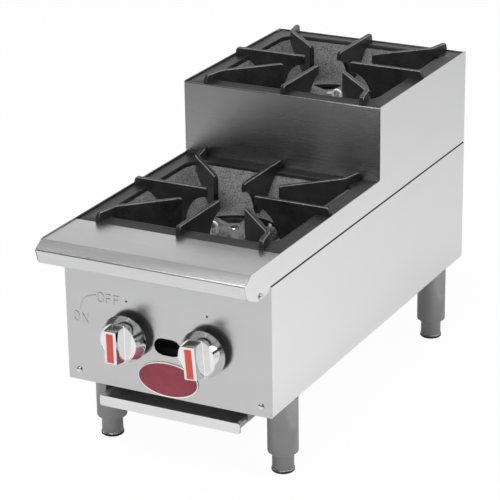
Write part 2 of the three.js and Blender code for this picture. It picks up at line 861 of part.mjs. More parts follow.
function makeGrate() {
  const { top, under } = grateSections();
  const casting = ringLoft([...top, ...under]);
  const quarter = Math.PI / 2;
  const straight = [0, 1, 2, 3].map((k) => straightArm(k * quarter, k % 2 ? grate.depth / 2 : grateHalf));
  const diagonal = [[1, 1], [-1, 1], [-1, -1], [1, -1]].map(([sx, sy]) => diagonalArm(sx, sy));
  return join(casting, ...straight, ...diagonal);
}

// Burners

const burnerTop = (top) => grateRimTop(top) - burner.topDrop;
const potTop = (top) => burnerTop(top) - burner.headHeight;

// A star of round-ended arms about a hub, with a bevelled upper edge.
function makeHead(y, top) {
  const b = burner;
  const bars = Array.from({ length: b.arms / 2 }, (_, k) => {
    const turn = Math.PI / 2 + (k * 2 * Math.PI) / b.arms;
    const outline = obround(0, 0, b.headRadius * 2, b.armWidth, 5).map((p) => p.rotateAround(v2(0, 0), turn));
    return prism("z", outline.map((p) => v2(p.x + b.offset, p.y + y)), potTop(top) + gap, burnerTop(top));
  });
  const hub = turned(
    "z",
    [
      [0, potTop(top) + gap],
      [b.potRadius, potTop(top) + gap],
      [b.hubRadius, burnerTop(top)],
      [0, burnerTop(top)],
    ],
    b.offset,
    y,
    18,
  );
  return join(hub, ...bars);
}

// How far along the way from bell to pot each place of a mixing tube lies, across, back and up.
const mixerShares = {
  front: [
    [0, 0, 0], [0, 0.22, 0], [0.12, 0.42, 0.16],
    [0.72, 0.76, 0.86], [1, 0.92, 1], [1, 1, 1],
  ],
  rear: [
    [0, 0, 0], [0, 0.35, 0], [0, 0.72, 0], [0.06, 0.79, 0.08],
    [0.62, 0.88, 0.78], [1, 0.95, 1], [1, 1, 1],
  ],
};

// The pot under a burner head, the mixing tube that feeds it and the bell where air comes in.
function makeMixer(side, y, top, shares) {
  const b = burner;
  const start = v3(side * knob.spacing, b.bellStart + b.bellLength - b.bellWall, knobZ);
  const level = potTop(top) - b.potHeight / 2;
  const end = v3(b.offset, y, level);
  const span = end.clone().sub(start);
  const points = shares.map(([x, yy, z]) => v3(x, yy, z).multiply(span).add(start));
  const tube = bentBar(points, b.tubeRadius, 2, 10);
  const pot = turned(
    "z",
    [
      [0, potTop(top) - b.potHeight],
      [b.tubeRadius + b.bellWall, potTop(top) - b.potHeight],
      [b.potRadius, potTop(top) - b.potHeight / 3],
      [b.potRadius, potTop(top)],
      [0, potTop(top)],
    ],
    b.offset,
    y,
    18,
  );
  const bell = turned(
    "y",
    [
      [0, b.bellStart + b.bellLength],
      [b.tubeRadius, b.bellStart + b.bellLength],
      [b.bellRadius, b.bellStart + b.bellLength / 2],
      [b.bellRadius, b.bellStart],
      [b.bellRadius - b.bellWall, b.bellStart],
      [b.bellRadius - b.bellWall, b.bellStart + b.bellLength / 2],
      [b.tubeRadius - b.bellWall, b.bellStart + b.bellLength - b.bellWall],
      [0, b.bellStart + b.bellLength - b.bellWall],
    ],
    side * knob.spacing,
    knobZ,
    18,
  );
  return join(tube, pot, bell);
}

const shutter = { depth: 7, wall: 1.2, hole: 10, windowRadius: 2.6, windows: 4 };

// A cup that turns on the mouth of the bell and opens or closes it to the air.
function makeShutter(side) {
  const s = shutter;
  const inside = burner.bellRadius + gap;
  const front = burner.bellStart - gap - s.wall;
  const cup = turned(
    "y",
    [
      [s.hole, front],
      [inside + s.wall, front],
      [inside + s.wall, front + s.wall + s.depth],
      [inside, front + s.wall + s.depth],
      [inside, front + s.wall],
      [s.hole, front + s.wall],
    ],
    side * knob.spacing,
    knobZ,
    18,
  );
  const reach = (s.hole + inside) / 2;
  const windows = Array.from({ length: s.windows }, (_, i) => {
    const a = (i / s.windows) * 2 * Math.PI;
    const [x, z] = [side * knob.spacing + reach * Math.cos(a), knobZ + reach * Math.sin(a)];
    return rod("y", s.windowRadius, front - overrun, front + s.wall + overrun / 2, x, z, 6);
  });
  return cut(cup, ...windows);
}

// Gas train

const supply = { inset: 34.5, inlet: 38, collarRadius: 15, collar: 16 };
const supplyX = halfWidth - supply.inset;
const manifold = { overhang: 33.6 }; // beyond the left valve
const manifoldEnd = -knob.spacing - manifold.overhang;

function makeManifold() {
  const bore = pipeRadius - pipeWall;
  const body = pipe("x", pipeRadius, pipeWall, manifoldEnd, supplyX - elbow.reach, valve.pipeY, manifoldZ);
  const taps = [-1, 1].map((s) =>
    rod("z", bore / 2, manifoldZ, manifoldZ + pipeRadius + overrun, s * knob.spacing, valve.pipeY, 10),
  );
  return cut(body, ...taps);
}

const elbow = { reach: 20, radius: 14.2, band: 8 };

// The elbow turns the manifold to the rear.
function makeElbow() {
  const e = elbow;
  const inX = supplyX - e.reach + gap;
  const outY = valve.pipeY + e.reach - gap;
  const corner = v3(supplyX, valve.pipeY, manifoldZ);
  const bendPath = new THREE.QuadraticBezierCurve3(
    v3(inX + e.band / 2, valve.pipeY, manifoldZ),
    corner,
    v3(supplyX, outY - e.band / 2, manifoldZ),
  ).getPoints(4);
  return join(
    bentBar(bendPath, pipeRadius, 1, 12),
    rod("x", e.radius, inX, inX + e.band, valve.pipeY, manifoldZ),
    rod("y", e.radius, outY - e.band, outY, supplyX, manifoldZ),
  );
}

function makeSupply() {
  const start = valve.pipeY + elbow.reach;
  const end = bodyDepth + supply.inlet;
  const line = pipe("y", pipeRadius, pipeWall, start, end, supplyX, manifoldZ);
  const thickness = supply.collarRadius - pipeRadius + pipeWall / 2;
  const collar = pipe("y", supply.collarRadius, thickness, end - supply.collar, end, supplyX, manifoldZ);
  return join(line, collar);
}

function makePlug() {
  const end = manifoldEnd - gap;
  const head = pipeRadius * 0.9;
  return join(
    rod("x", pipeRadius, end - head / 2, end, valve.pipeY, manifoldZ, 20),
    rod("x", head, end - head * 1.2, end - head / 2, valve.pipeY, manifoldZ, 6),
  );
}

// A gas valve stands on the manifold and points its stem forward.
function makeValve(side) {
  const v = valve;
  const x = side * knob.spacing;
  const body = turned(
    "y",
    [
      [knob.stemRadius + gap, v.front],
      [v.radius * 0.75, v.front],
      [v.radius * 0.75, v.front + v.radius * 0.5],
      [v.radius, v.front + v.radius * 0.5],
      [v.radius, v.rear - v.radius * 0.6],
      [v.radius * 0.6, v.rear],
      [0, v.rear],
      [0, v.front + v.radius * 1.2],
      [knob.stemRadius + gap, v.front + v.radius * 1.2],
    ],
    x,
    knobZ,
    14,
  );
  const stub = rod("z", v.stubRadius, manifoldZ + pipeRadius + gap, knobZ - v.radius / 2, x, v.pipeY, 12);
  return join(body, stub);
}

// The orifice hood screws on the rear of a valve and points into the bell.
function makeHood(side) {
  const x = side * knob.spacing;
  const start = valve.rear + gap;
  const wide = valve.radius * 0.65;
  const nozzle = [
    [0, start + wide / 2],
    [wide * 0.7, start + wide / 2],
    [wide * 0.7, start + wide * 1.6],
    [wide * 0.25, start + wide * 2.2],
    [0, start + wide * 2.2],
  ];
  return join(rod("y", wide, start, start + wide, x, knobZ, 6), turned("y", nozzle, x, knobZ, 12));
}

// The stem turns with the knob. Its end has a flat.
function makeStem(side) {
  const x = side * knob.spacing;
  const inner = valve.front + valve.radius * 1.2 - gap;
  const tip = -knob.standoff - knob.seatDepth + gap;
  const shaft = rod("y", knob.stemRadius, tip, inner, x, knobZ, 16);
  const flat = box(
    x - knob.stemRadius - overrun,
    x + knob.stemRadius + overrun,
    tip - overrun,
    -knob.standoff,
    knobZ + knob.stemRadius * 0.6,
    knobZ + knob.stemRadius + overrun,
  );
  return cut(shaft, flat);
}

const pilot = {
  valveRadius: 5.5,
  valveFront: 5,
  valveRear: 30,
  screwRadius: 2.6,
  tubeRadius: 2.1,
  forward: 33, // in front of the middle of the burner
  frontReach: 9, // from the middle of the burner to the mouth
  rearReach: 20,
  archSpan: 11,
  archRise: 18, // above the burner head
  archSteps: 5,
  mouthRise: 4,
  footDrop: 22,
  feedInset: 21, // feed tube inside the knob's line
};
const pilotZ = underside + pilotHole.level;

// A pilot valve behind its hole, with its own feed down to the manifold.
function makePilotValve(side) {
  const p = pilot;
  const x = side * pilotHole.spacing;
  const body = turned(
    "y",
    [
      [p.screwRadius + gap, p.valveFront],
      [p.valveRadius, p.valveFront],
      [p.valveRadius, p.valveRear],
      [0, p.valveRear],
      [0, p.valveFront + p.valveRadius * 2],
      [p.screwRadius + gap, p.valveFront + p.valveRadius * 2],
    ],
    x,
    pilotZ,
    12,
  );
  const feedX = side * (knob.spacing - p.feedInset);
  const feedTop = pilotZ;
  const feedLow = manifoldZ + pipeRadius + gap;
  const feed = [
    v3(x, valve.pipeY, feedTop),
    v3((x + feedX * 3) / 4, valve.pipeY, feedTop),
    v3(feedX, valve.pipeY, (feedTop * 3 + feedLow) / 4),
    v3(feedX, valve.pipeY, feedLow),
  ];
  return join(body, bentBar(feed, p.tubeRadius, 2, 6));
}

function makePilotScrew(side) {
  const p = pilot;
  const x = side * pilotHole.spacing;
  const end = p.valveFront + p.valveRadius * 2 - gap;
  const screw = rod("y", p.screwRadius, sheet + gap * 2, end, x, pilotZ, 12);
  const slot = box(
    x - p.screwRadius - overrun,
    x + p.screwRadius + overrun,
    0,
    sheet + gap * 2 + p.screwRadius / 2,
    pilotZ - p.screwRadius / 6,
    pilotZ + p.screwRadius / 6,
  );
  return cut(screw, slot);
}

// How far along the way from pilot valve to riser each place of a pilot tube lies, across, back and up.
const pilotShares = {
  front: [
    [0, 0, 0], [0, 0.25, 0], [0.05, 0.58, 0.2],
    [0.45, 0.85, 0.75], [0.86, 0.97, 0.93], [1, 1, 1.4],
  ],
  rear: [
    [0, 0, 0], [0, 0.02, 0], [-0.6, 0.12, 0],
    [-0.6, 0.5, 0], [-0.6, 0.83, 0.02], [-0.5, 0.9, 0.15],
    [0.2, 0.967, 0.66], [0.88, 0.996, 0.93], [1, 1, 1.05],
  ],
};

// A pilot tube runs back from its valve, rises beside the burner and turns over towards it.
function makePilotTube(side, y, top, reach, shares) {
  const p = pilot;
  const start = v3(side * pilotHole.spacing, p.valveRear + gap, pilotZ);
  const mouthX = burner.offset + side * reach;
  const riserX = mouthX + side * p.archSpan;
  const level = y - p.forward;
  const foot = v3(riserX, level, burnerTop(top) - p.footDrop);
  const span = foot.clone().sub(start);
  const approach = shares.map(([across, back, up]) => v3(across, back, up).multiply(span).add(start));
  const archRadius = p.archSpan / 2;
  const archZ = burnerTop(top) + p.archRise - archRadius;
  const arch = Array.from({ length: p.archSteps + 1 }, (_, i) => {
    const a = (i / p.archSteps) * Math.PI;
    const x = (riserX + mouthX) / 2 + side * archRadius * Math.cos(a);
    return v3(x, level, archZ + archRadius * Math.sin(a));
  });
  const mouth = v3(mouthX, level, burnerTop(top) + p.mouthRise);
  return bentBar([...approach, ...arch, mouth], p.tubeRadius, 2, 6);
}

// Controls

// The chrome knob: a hollow skirt with a flat face, a boss over the stem and an upright grip.
function makeKnob(side) {
  const k = knob;
  const x = side * k.spacing;
  const back = -k.standoff;
  const face = back - k.skirtDepth;
  const floor = face + k.wall;
  const seat = back - k.seatDepth;
  const hold = k.stemRadius + gap;
  const skirt = turned(
    "y",
    [
      [0, face],
      [k.faceRadius - k.faceEdge, face],
      [k.faceRadius, face + k.faceEdge],
      [k.skirtRadius, back - k.skirtEdge],
      [k.skirtRadius, back],
      [k.skirtRadius - k.wall, back],
      [k.faceRadius - k.wall, floor],
      [k.bossRadius, floor],
      [k.bossRadius, back],
      [hold, back],
      [hold, seat],
      [0, seat],
    ],
    x,
    knobZ,
    26,
  );
  return cut(join(skirt, makeGrip(x, face)), makeInlaySeat(x, face));
}

// The grip, seen from the side: its front edge falls towards the panel at the lower end.
function gripOutline(face) {
  const k = knob;
  return [
    v2(face + k.wall / 2, knobZ + k.gripBase),
    v2(face + k.wall / 2, knobZ - k.gripBase),
    v2(face - k.gripReach + k.gripFall, knobZ - k.gripBottom),
    v2(face - k.gripReach, knobZ + k.gripTop),
  ];
}

function makeGrip(x, face) {
  return prism("x", gripOutline(face), x - knob.gripWidth / 2, x + knob.gripWidth / 2);
}

// Where the front edge of the grip lies at a height above the middle of the knob.
function gripFront(face, height) {
  const k = knob;
  return face - k.gripReach + (k.gripFall * (k.gripTop - height)) / (k.gripTop + k.gripBottom);
}

function inlayOutline(face, depth, proud, spare) {
  const k = knob;
  const [high, low] = [k.inlayTop + spare, -k.inlayBottom - spare];
  return [
    v2(gripFront(face, high) + depth, knobZ + high),
    v2(gripFront(face, low) + depth, knobZ + low),
    v2(gripFront(face, low) - proud, knobZ + low),
    v2(gripFront(face, high) - proud, knobZ + high),
  ];
}

function makeInlaySeat(x, face) {
  const half = knob.inlayWidth / 2 + gap;
  return prism("x", inlayOutline(face, knob.inlayDepth, overrun, gap), x - half, x + half);
}

function makeInlay(side) {
  const x = side * knob.spacing;
  const half = knob.inlayWidth / 2;
  const face = -knob.standoff - knob.skirtDepth;
  return prism("x", inlayOutline(face, knob.inlayDepth - gap, 0, 0), x - half, x + half);
}

function makeBadge() {
  const centre = underside + badge.level;
  return prism("y", ring(0, centre, badge.width / 2, badge.height / 2, 32), -gap - badge.thickness, -gap);
}

// Fasteners

const fastener = { head: 4.4, headHeight: 2.6, shank: 2, length: 9 };
const noseScrew = { y: -28.5, z: seam - 3.5 };

// A domed screw. Its head faces against the axis when the way is -1.
function makeScrew(axis, way, seat, a, b, length = fastener.length) {
  const f = fastener;
  const profile = [
    [0, seat - way * length],
    [f.shank, seat - way * length],
    [f.shank, seat],
    [f.head, seat],
    [f.head, seat + way * f.headHeight * 0.35],
    [f.head * 0.7, seat + way * f.headHeight * 0.85],
    [0, seat + way * f.headHeight],
  ];
  return turned(axis, profile, a, b, 10);
}

// Assembly

addPair("side_upper", upperSide(), "steel");
addPair("side_lower", lowerSide(), "steel");
add("front_panel", makeFrontPanel(), "steel");
add("front_ledge", makeLedge(), "steel");
add("riser_panel", makeRiser(), "steel");
add("rear_panel", makeRearPanel(), "steel");

const frameSpan = {
  front: [ledge.back + gap, stepDepth - gap],
  rear: [stepDepth + riserHem + gap, bodyDepth - sheet - gap],
};
add("top_frame_front", makeTopFrame(lowerTop, ...frameSpan.front), "steelDark");
add("top_frame_rear", makeTopFrame(upperTop, ...frameSpan.rear), "steelDark");
legPlaces().forEach(({ end, y }) => add("cross_rail_" + end, makeRail(y), "steelDark"));
const supportTop = (top) => potTop(top) - burner.potHeight - gap;
add("burner_support_front", makeSupport(frontBurnerY, supportTop(lowerTop)), "steelDark");
add("burner_support_rear", makeSupport(rearBurnerY, supportTop(upperTop)), "steelDark");
addPair("tray_runner", makeRunner(), "steelDark");
add("drip_tray", makeTray(), "steel");

legPlaces().forEach(({ end, y }) => {
  addPair("leg_" + end, makeLegTube(y), "aluminium");
  addPair("foot_" + end, makeFoot(y), "aluminium");
});

const castGrate = makeGrate();
[["front", frontBurnerY, lowerTop], ["rear", rearBurnerY, upperTop]].forEach(([end, y, top]) => {
  add("grate_" + end, castGrate, "castIron").position.set(0, y, grateRimTop(top));
  add("burner_head_" + end, makeHead(y, top), "castIron");
});
add("mixer_front", makeMixer(-1, frontBurnerY, lowerTop, mixerShares.front), "castIron");
add("mixer_rear", makeMixer(1, rearBurnerY, upperTop, mixerShares.rear), "castIron");

add("manifold_pipe", makeManifold(), "pipe");
add("manifold_elbow", makeElbow(), "pipe");
add("manifold_plug", makePlug(), "pipe");
add("supply_pipe", makeSupply(), "pipe");

const sides = [["left", -1], ["right", 1]];
sides.forEach(([name, side]) => {
  add("gas_valve_" + name, makeValve(side), "brass");
  add("valve_stem_" + name, makeStem(side), "brass");
  add("orifice_hood_" + name, makeHood(side), "brass");
  add("air_shutter_" + name, makeShutter(side), "steelDark");
  add("pilot_valve_" + name, makePilotValve(side), "brass");
  add("pilot_screw_" + name, makePilotScrew(side), "brass");
  add("knob_" + name, makeKnob(side), "chrome");
  add("knob_inlay_" + name, makeInlay(side), "red");
});
const frontPilotTube = makePilotTube(-1, frontBurnerY, lowerTop, pilot.frontReach, pilotShares.front);
const rearPilotTube = makePilotTube(1, rearBurnerY, upperTop, pilot.rearReach, pilotShares.rear);
add("pilot_tube_front", frontPilotTube, "aluminium");
add("pilot_tube_rear", rearPilotTube, "aluminium");

add("badge", makeBadge(), "badgeRed");
addPair("panel_screw", makeScrew("y", -1, -gap, panelScrewX, underside + panelScrew.level), "chrome");
addPair("nose_screw", makeScrew("x", 1, halfWidth + gap, noseScrew.y, noseScrew.z), "chrome");

// The front-most and rear-most points are the ledge's nose end and the inlet, and the origin lies between.
const frontMost = -ledge.nose - noseEnd.proud;
const rearMost = bodyDepth + supply.inlet;
range.position.y = -(frontMost + rearMost) / 2;

export default range;
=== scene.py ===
"""A step-up countertop gas range with two open burners in line, dressed for a plain studio view.

Lengths are in metres. A piece is drawn with x across, y back from the face of the front panel and z up
from the counter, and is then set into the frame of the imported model.
"""

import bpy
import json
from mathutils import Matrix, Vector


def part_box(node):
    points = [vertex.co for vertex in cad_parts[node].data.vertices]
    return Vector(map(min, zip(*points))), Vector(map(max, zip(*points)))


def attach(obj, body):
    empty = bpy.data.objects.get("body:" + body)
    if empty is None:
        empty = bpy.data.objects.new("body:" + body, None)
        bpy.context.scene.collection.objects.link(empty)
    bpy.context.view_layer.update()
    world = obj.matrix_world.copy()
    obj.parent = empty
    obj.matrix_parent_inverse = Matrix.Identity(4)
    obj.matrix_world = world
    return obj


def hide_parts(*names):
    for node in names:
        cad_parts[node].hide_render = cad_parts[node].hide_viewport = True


bl_info = {
    "name": "Step-Up Countertop Range",
    "version": (1, 0, 0),
    "blender": (4, 5, 0),
    "location": "3D View > Sidebar > Range",
    "description": "Builds the pieces, finishes and stage of a step-up countertop gas range",
    "category": "Object",
}

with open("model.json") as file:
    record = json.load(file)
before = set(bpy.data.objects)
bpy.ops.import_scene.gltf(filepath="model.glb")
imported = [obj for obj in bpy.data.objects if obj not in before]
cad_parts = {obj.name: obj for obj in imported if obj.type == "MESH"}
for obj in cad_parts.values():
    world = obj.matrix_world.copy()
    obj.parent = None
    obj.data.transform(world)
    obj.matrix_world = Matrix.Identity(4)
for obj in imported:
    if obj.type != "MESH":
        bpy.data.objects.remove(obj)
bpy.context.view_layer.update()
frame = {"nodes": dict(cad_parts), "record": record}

import json
import math

import bmesh
import bpy
import numpy as np
from bpy.props import FloatProperty, FloatVectorProperty, IntProperty, PointerProperty
from mathutils import Matrix, Vector

MM = 0.001
PANEL_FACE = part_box("front_panel")[0][1]
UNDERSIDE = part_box("front_panel")[0][2]
HALF_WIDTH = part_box("side_upper_right")[1][0]
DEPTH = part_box("rear_panel")[1][1] - PANEL_FACE
UPPER_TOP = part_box("side_upper_right")[1][2]
STEP_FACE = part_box("riser_panel")[0][1] - PANEL_FACE
STEP_RISE = 105 * MM
LOWER_TOP = UPPER_TOP - STEP_RISE
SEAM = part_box("side_upper_right")[0][2] + 7.5 * MM
HALF_INSIDE = HALF_WIDTH - 1.5 * MM
RIM_DROP = 2.5 * MM
BURNER_DROP = 40 * MM
BODY_OF = {
    node: body
    for body, nodes in frame["record"]["behaviour"]["bodies"].items()
    for node in nodes
}


def length(name, description, default):
    """A length that the user can set, in metres."""
    return FloatProperty(name=name, description=description, default=default, min=0.0, unit="LENGTH")


def colour(name, description, default):
    """A linear colour that the user can set."""
    return FloatVectorProperty(
        name=name, description=description, default=default, min=0.0, max=1.0, size=3, subtype="COLOR"
    )


def share(name, description, default):
    """A number from 0 to 1 that the user can set."""
    return FloatProperty(
        name=name, description=description, default=default, min=0.0, max=1.0, subtype="FACTOR"
    )


def turn(name, description, degrees):
    """An angle that the user can set, given here in degrees."""
    return FloatProperty(name=name, description=description, default=math.radians(degrees), subtype="ANGLE")


def power(name, description, default):
    """A lamp's power that the user can set."""
    return FloatProperty(name=name, description=description, default=default, subtype="POWER")


class CasingSettings(bpy.types.PropertyGroup):
    """Sizes and finish of the folded stainless casing."""

    sheet: length("Sheet", "Thickness of the stainless sheet", 1.2 * MM)
    bend: length("Bend radius", "Outer radius of each fold", 2.6 * MM)
    edge: length("Edge", "Rounding of a sheared edge", 0.35 * MM)
    letter_height: length("Letter height", "Height of the pressed letters", 15 * MM)
    stroke: length("Stroke", "Width of the strokes of the pressed letters", 1.7 * MM)
    steel: colour("Steel", "Colour of the stainless sheet", (0.66, 0.66, 0.663))
    gloss: share("Roughness", "Roughness of the brushed face", 0.22)


class GrateSettings(bpy.types.PropertyGroup):
    """Sizes and finish of the cast-iron top grates."""

    arm: length("Arm thickness", "Thickness of an arm", 6.2 * MM)
    arm_rise: length("Arm rise", "Height of the arms above the rim", 12.5 * MM)
    edge: length("Edge", "Rounding of a cast edge", 1.0 * MM)
    around: IntProperty(name="Around", description="Points round the bowl", default=240, min=40)
    iron: colour("Iron", "Colour of the coated iron", (0.012, 0.012, 0.0123))
    bowl: colour("Bowl", "Colour of the bare iron of the bowls", (0.09, 0.09, 0.09))


class BurnerSettings(bpy.types.PropertyGroup):
    """Sizes of the star burners and their pilots."""

    offset: length("Offset", "How far right of the grate's middle a burner stands", 4.5 * MM)
    reach: length("Reach", "Radius of the star", 58 * MM)
    arm: length("Arm width", "Width of an arm of the star", 15 * MM)
    bevel: length("Bevel", "Width of the drilled bevel", 3.9 * MM)
    port: length("Port", "Diameter of a port", 2.3 * MM)
    pilot: length("Pilot tube", "Diameter of a pilot tube", 4.2 * MM)
    cast: colour("Casting", "Colour of the burner casting", (0.1, 0.1, 0.1))


class KnobSettings(bpy.types.PropertyGroup):
    """Sizes and finish of the two knobs."""

    spacing: length("Spacing", "Distance of a knob from the middle of the panel", 58.4 * MM)
    height: length("Height", "Height of a knob above the underside of the body", 77.7 * MM)
    skirt: length("Skirt radius", "Radius of the skirt at the panel", 32.8 * MM)
    face: length("Face radius", "Radius of the flat face", 27.2 * MM)
    standoff: length("Stand-off", "Gap between the panel and the skirt", 11 * MM)
    depth: length("Skirt depth", "Depth of the skirt", 17 * MM)
    grip: length("Grip reach", "How far the grip stands out of the face", 20 * MM)
    chrome: colour("Chrome", "Colour of the plating", (0.82, 0.82, 0.825))
    stripe: colour("Stripe", "Colour of the stripe", (0.66, 0.075, 0.055))


class BadgeSettings(bpy.types.PropertyGroup):
    """Sizes and colours of the bare oval badge."""

    width: length("Width", "Width of the oval", 91 * MM)
    height: length("Height", "Height of the oval", 49.5 * MM)
    level: length("Level", "Height of its middle above the underside of the body", 25.5 * MM)
    rim: length("Rim", "Width of the pale border", 1.9 * MM)
    enamel: colour("Enamel", "Colour of the field", (0.3, 0.024, 0.05))
    # The border's default is brighter than its enamel: painted light that makes up for the shade under the
    # ledge.
    border: colour("Border", "Colour of the border", (0.96, 0.96, 0.96))


class LegSettings(bpy.types.PropertyGroup):
    """Sizes and finish of the legs and feet."""

    radius: length("Leg radius", "Radius of a leg tube", 21 * MM)
    foot: length("Foot radius", "Radius of a foot", 15.7 * MM)
    show: length("Foot height", "Height of the foot below the tube", 28 * MM)
    shoulder: length("Shoulder", "Rounding at the lower end of the tube", 5 * MM)
    plate: colour("Plating", "Colour of the plated steel", (0.38, 0.38, 0.38))


class StudioSettings(bpy.types.PropertyGroup):
    """The camera, lamps, floor and background."""

    azimuth: turn("Azimuth", "Camera round from the front", 27.07)
    elevation: turn("Elevation", "Camera above level", 21.21)
    roll: turn("Roll", "Camera turned about its line of sight", -0.64)
    distance: length("Distance", "From the camera to what it looks at", 3.2131)
    lens: FloatProperty(name="Lens", description="Focal length in millimetres", default=162.17)
    key: power("Key lamp", "Power of the key lamp", 14.0)
    top: power("Top lamp", "Power of the lamp overhead", 29.0)
    ambient: share("Ambient", "Strength of the surroundings on matt surfaces", 0.46)
    overhead: share("Overhead", "Strength of the surroundings overhead, as gloss shows it", 0.5)
    front: share("Front", "Strength of the surroundings in front, as gloss shows it", 0.14)
    floor: colour("Floor", "Colour of the floor", (0.9, 0.9, 0.9))


# Shapes


def rounded(path, radius, steps):
    """Turns each inner corner of an open path into an arc: the arc's centre lies on the corner's bisector,
    radius / sin(half the corner's angle) away, and its points sweep evenly from one side to the other."""
    path = np.asarray(path, float)
    to_last = path[:-2] - path[1:-1]
    to_next = path[2:] - path[1:-1]
    last = np.linalg.norm(to_last, axis=1, keepdims=True)
    next_ = np.linalg.norm(to_next, axis=1, keepdims=True)
    a, b = to_last / last, to_next / next_
    half = np.arccos(np.clip((a * b).sum(1, keepdims=True), -1, 1)) / 2
    reach = np.minimum(radius / np.tan(half), np.minimum(last, next_) / 2)
    fitted = reach * np.tan(half)
    middle = a + b
    middle /= np.linalg.norm(middle, axis=1, keepdims=True)
    centre = path[1:-1] + middle * fitted / np.sin(half)
    start, stop = path[1:-1] + a * reach - centre, path[1:-1] + b * reach - centre
    sweep = np.arctan2(start[:, 0] * stop[:, 1] - start[:, 1] * stop[:, 0], (start * stop).sum(1))
    turn = sweep[:, None] * np.linspace(0, 1, steps + 1)
    c, s = np.cos(turn), np.sin(turn)
    arcs = np.stack([c * start[:, :1] - s * start[:, 1:], s * start[:, :1] + c * start[:, 1:]], -1)
    return np.vstack([path[:1], (arcs + centre[:, None]).reshape(-1, 2), path[-1:]])


def sheet_section(path, thickness, radius, steps=6):
    """The closed section of a folded sheet: the rounded path, and the same path moved square to itself by
    the thickness, to the left of the way it runs."""
    outer = rounded(path, radius, steps)
    way = np.diff(outer, axis=0)
    way /= np.linalg.norm(way, axis=1, keepdims=True)
    side = np.stack([-way[:, 1], way[:, 0]], 1)
    before, after = np.vstack([side[:1], side]), np.vstack([side, side[-1:]])
    mitre = (before + after) / (1 + (before * after).sum(1, keepdims=True))
    return np.vstack([outer, (outer + mitre * thickness)[::-1]])


AXES = {"x": (1, 2, 0), "y": (0, 2, 1), "z": (0, 1, 2)}


def place(first, second, along, axis):
    """Puts a section's own two coordinates and its place along an axis into x, y and z."""
    columns = [None, None, None]
    for value, index in zip((first, second, along), AXES[axis]):
        columns[index] = value
    return np.stack(np.broadcast_arrays(*columns), -1)


def grid_faces(rows, columns, close_rows=False, close_columns=True):
    """Four-sided faces of a grid of points, each row following the last."""
    r = np.arange(rows if close_rows else rows - 1)[:, None]
    c = np.arange(columns if close_columns else columns - 1)[None, :]
    r2, c2 = (r + 1) % rows, (c + 1) % columns
    quads = (r * columns + c, r * columns + c2, r2 * columns + c2, r2 * columns + c)
    return np.stack(np.broadcast_arrays(*quads), -1).reshape(-1, 4).tolist()


def end_faces(rows, columns):
    """The two faces that close a grid of points at its first and last row."""
    return [list(range(columns)), list(range((rows - 1) * columns, rows * columns))]


def extruded(section, start, stop, axis):
    """A section carried straight along an axis, with both ends closed."""
    section = np.asarray(section, float)
    count = len(section)
    points = place(section[None, :, 0], section[None, :, 1], np.array([[start], [stop]]), axis)
    return points.reshape(-1, 3), grid_faces(2, count) + end_faces(2, count)


def revolved(profile, centre, axis, segments=64):
    """A profile of radius and place turned about a line: x = r cos a, y = r sin a round the line."""
    profile = np.asarray(profile, float)
    angle = np.linspace(0, 2 * np.pi, segments, endpoint=False)
    r, h = profile[:, :1], profile[:, 1:]
    points = place(centre[0] + r * np.cos(angle), centre[1] + r * np.sin(angle), h + 0 * angle, axis)
    return points.reshape(-1, 3), grid_faces(len(profile), segments, close_rows=True)


def carried(path, radius, sides=20, mouth=0.0):
    """A round bar along a path: each ring is square to the way the path runs there. With a mouth, its far
    end is hollow: the ring closes in by the wall and runs back inside."""
    path = np.asarray(path, float)
    way = np.gradient(path, axis=0)
    way /= np.linalg.norm(way, axis=1, keepdims=True)
    up = np.cross(way, np.array([0.31, 0.17, 0.11]))
    up /= np.linalg.norm(up, axis=1, keepdims=True)
    other = np.cross(way, up)
    radii = np.full(len(path), radius)
    if mouth:
        inner = radius - mouth
        path = np.vstack([path, path[-1:], path[-1:] - way[-1:] * radius * 3])
        radii = np.append(radii, [inner, inner])
        up, other = np.vstack([up, up[-1:], up[-1:]]), np.vstack([other, other[-1:], other[-1:]])
    angle = np.linspace(0, 2 * np.pi, sides, endpoint=False)[None, :, None]
    ring = np.cos(angle) * up[:, None] + np.sin(angle) * other[:, None]
    points = path[:, None] + radii[:, None, None] * ring
    rows = len(path)
    return points.reshape(-1, 3), grid_faces(rows, sides) + end_faces(rows, sides)


def corner_turn(count):
    """Angles round a rounded rectangle, with the side of each of its axes that they lie on."""
    angle = np.linspace(0, 2 * np.pi, count, endpoint=False) + np.pi / count
    return angle, np.sign(np.cos(angle)), np.sign(np.sin(angle))


def turned_about(x, z, turn, px, py, pz):
    """Points turned about a line along y through a place."""
    c, s = math.cos(turn), math.sin(turn)
    return np.stack([x + px * c - pz * s, py + 0 * px, z + px * s + pz * c], -1)


def smooth_path(points, per_span=8):
    """A Catmull-Rom curve through points: each span is a cubic in the four points round it."""
    p = np.asarray(points, float)
    p = np.vstack([2 * p[0] - p[1], p, 2 * p[-1] - p[-2]])
    t = np.linspace(0, 1, per_span, endpoint=False)[None, :, None]
    a, b, c, d = (p[i : len(p) - 3 + i, None] for i in range(4))
    spans = 0.5 * (2 * b + (c - a) * t + (2 * a - 5 * b + 4 * c - d) * t**2 + (3 * b - a - 3 * c + d) * t**3)
    return np.vstack([spans.reshape(-1, p.shape[1]), p[-2:-1]])


def joined(*shapes):
    """Several shapes as one list of points and one list of faces."""
    points, faces, count = [], [], 0
    for shape_points, shape_faces in shapes:
        points.append(shape_points)
        faces += [[i + count for i in face] for face in shape_faces]
        count += len(shape_points)
    return np.vstack(points), faces


def linked(name, data):
    """A new object of some data, in the scene."""
    thing = bpy.data.objects.new(name, data)
    bpy.context.scene.collection.objects.link(thing)
    return thing


def face_values(mesh):
    """The middle and the normal of each face."""
    values = np.empty((2, len(mesh.polygons) * 3))
    for row, key in zip(values, ("center", "normal")):
        mesh.polygons.foreach_get(key, row)
    return values.reshape(2, -1, 3)


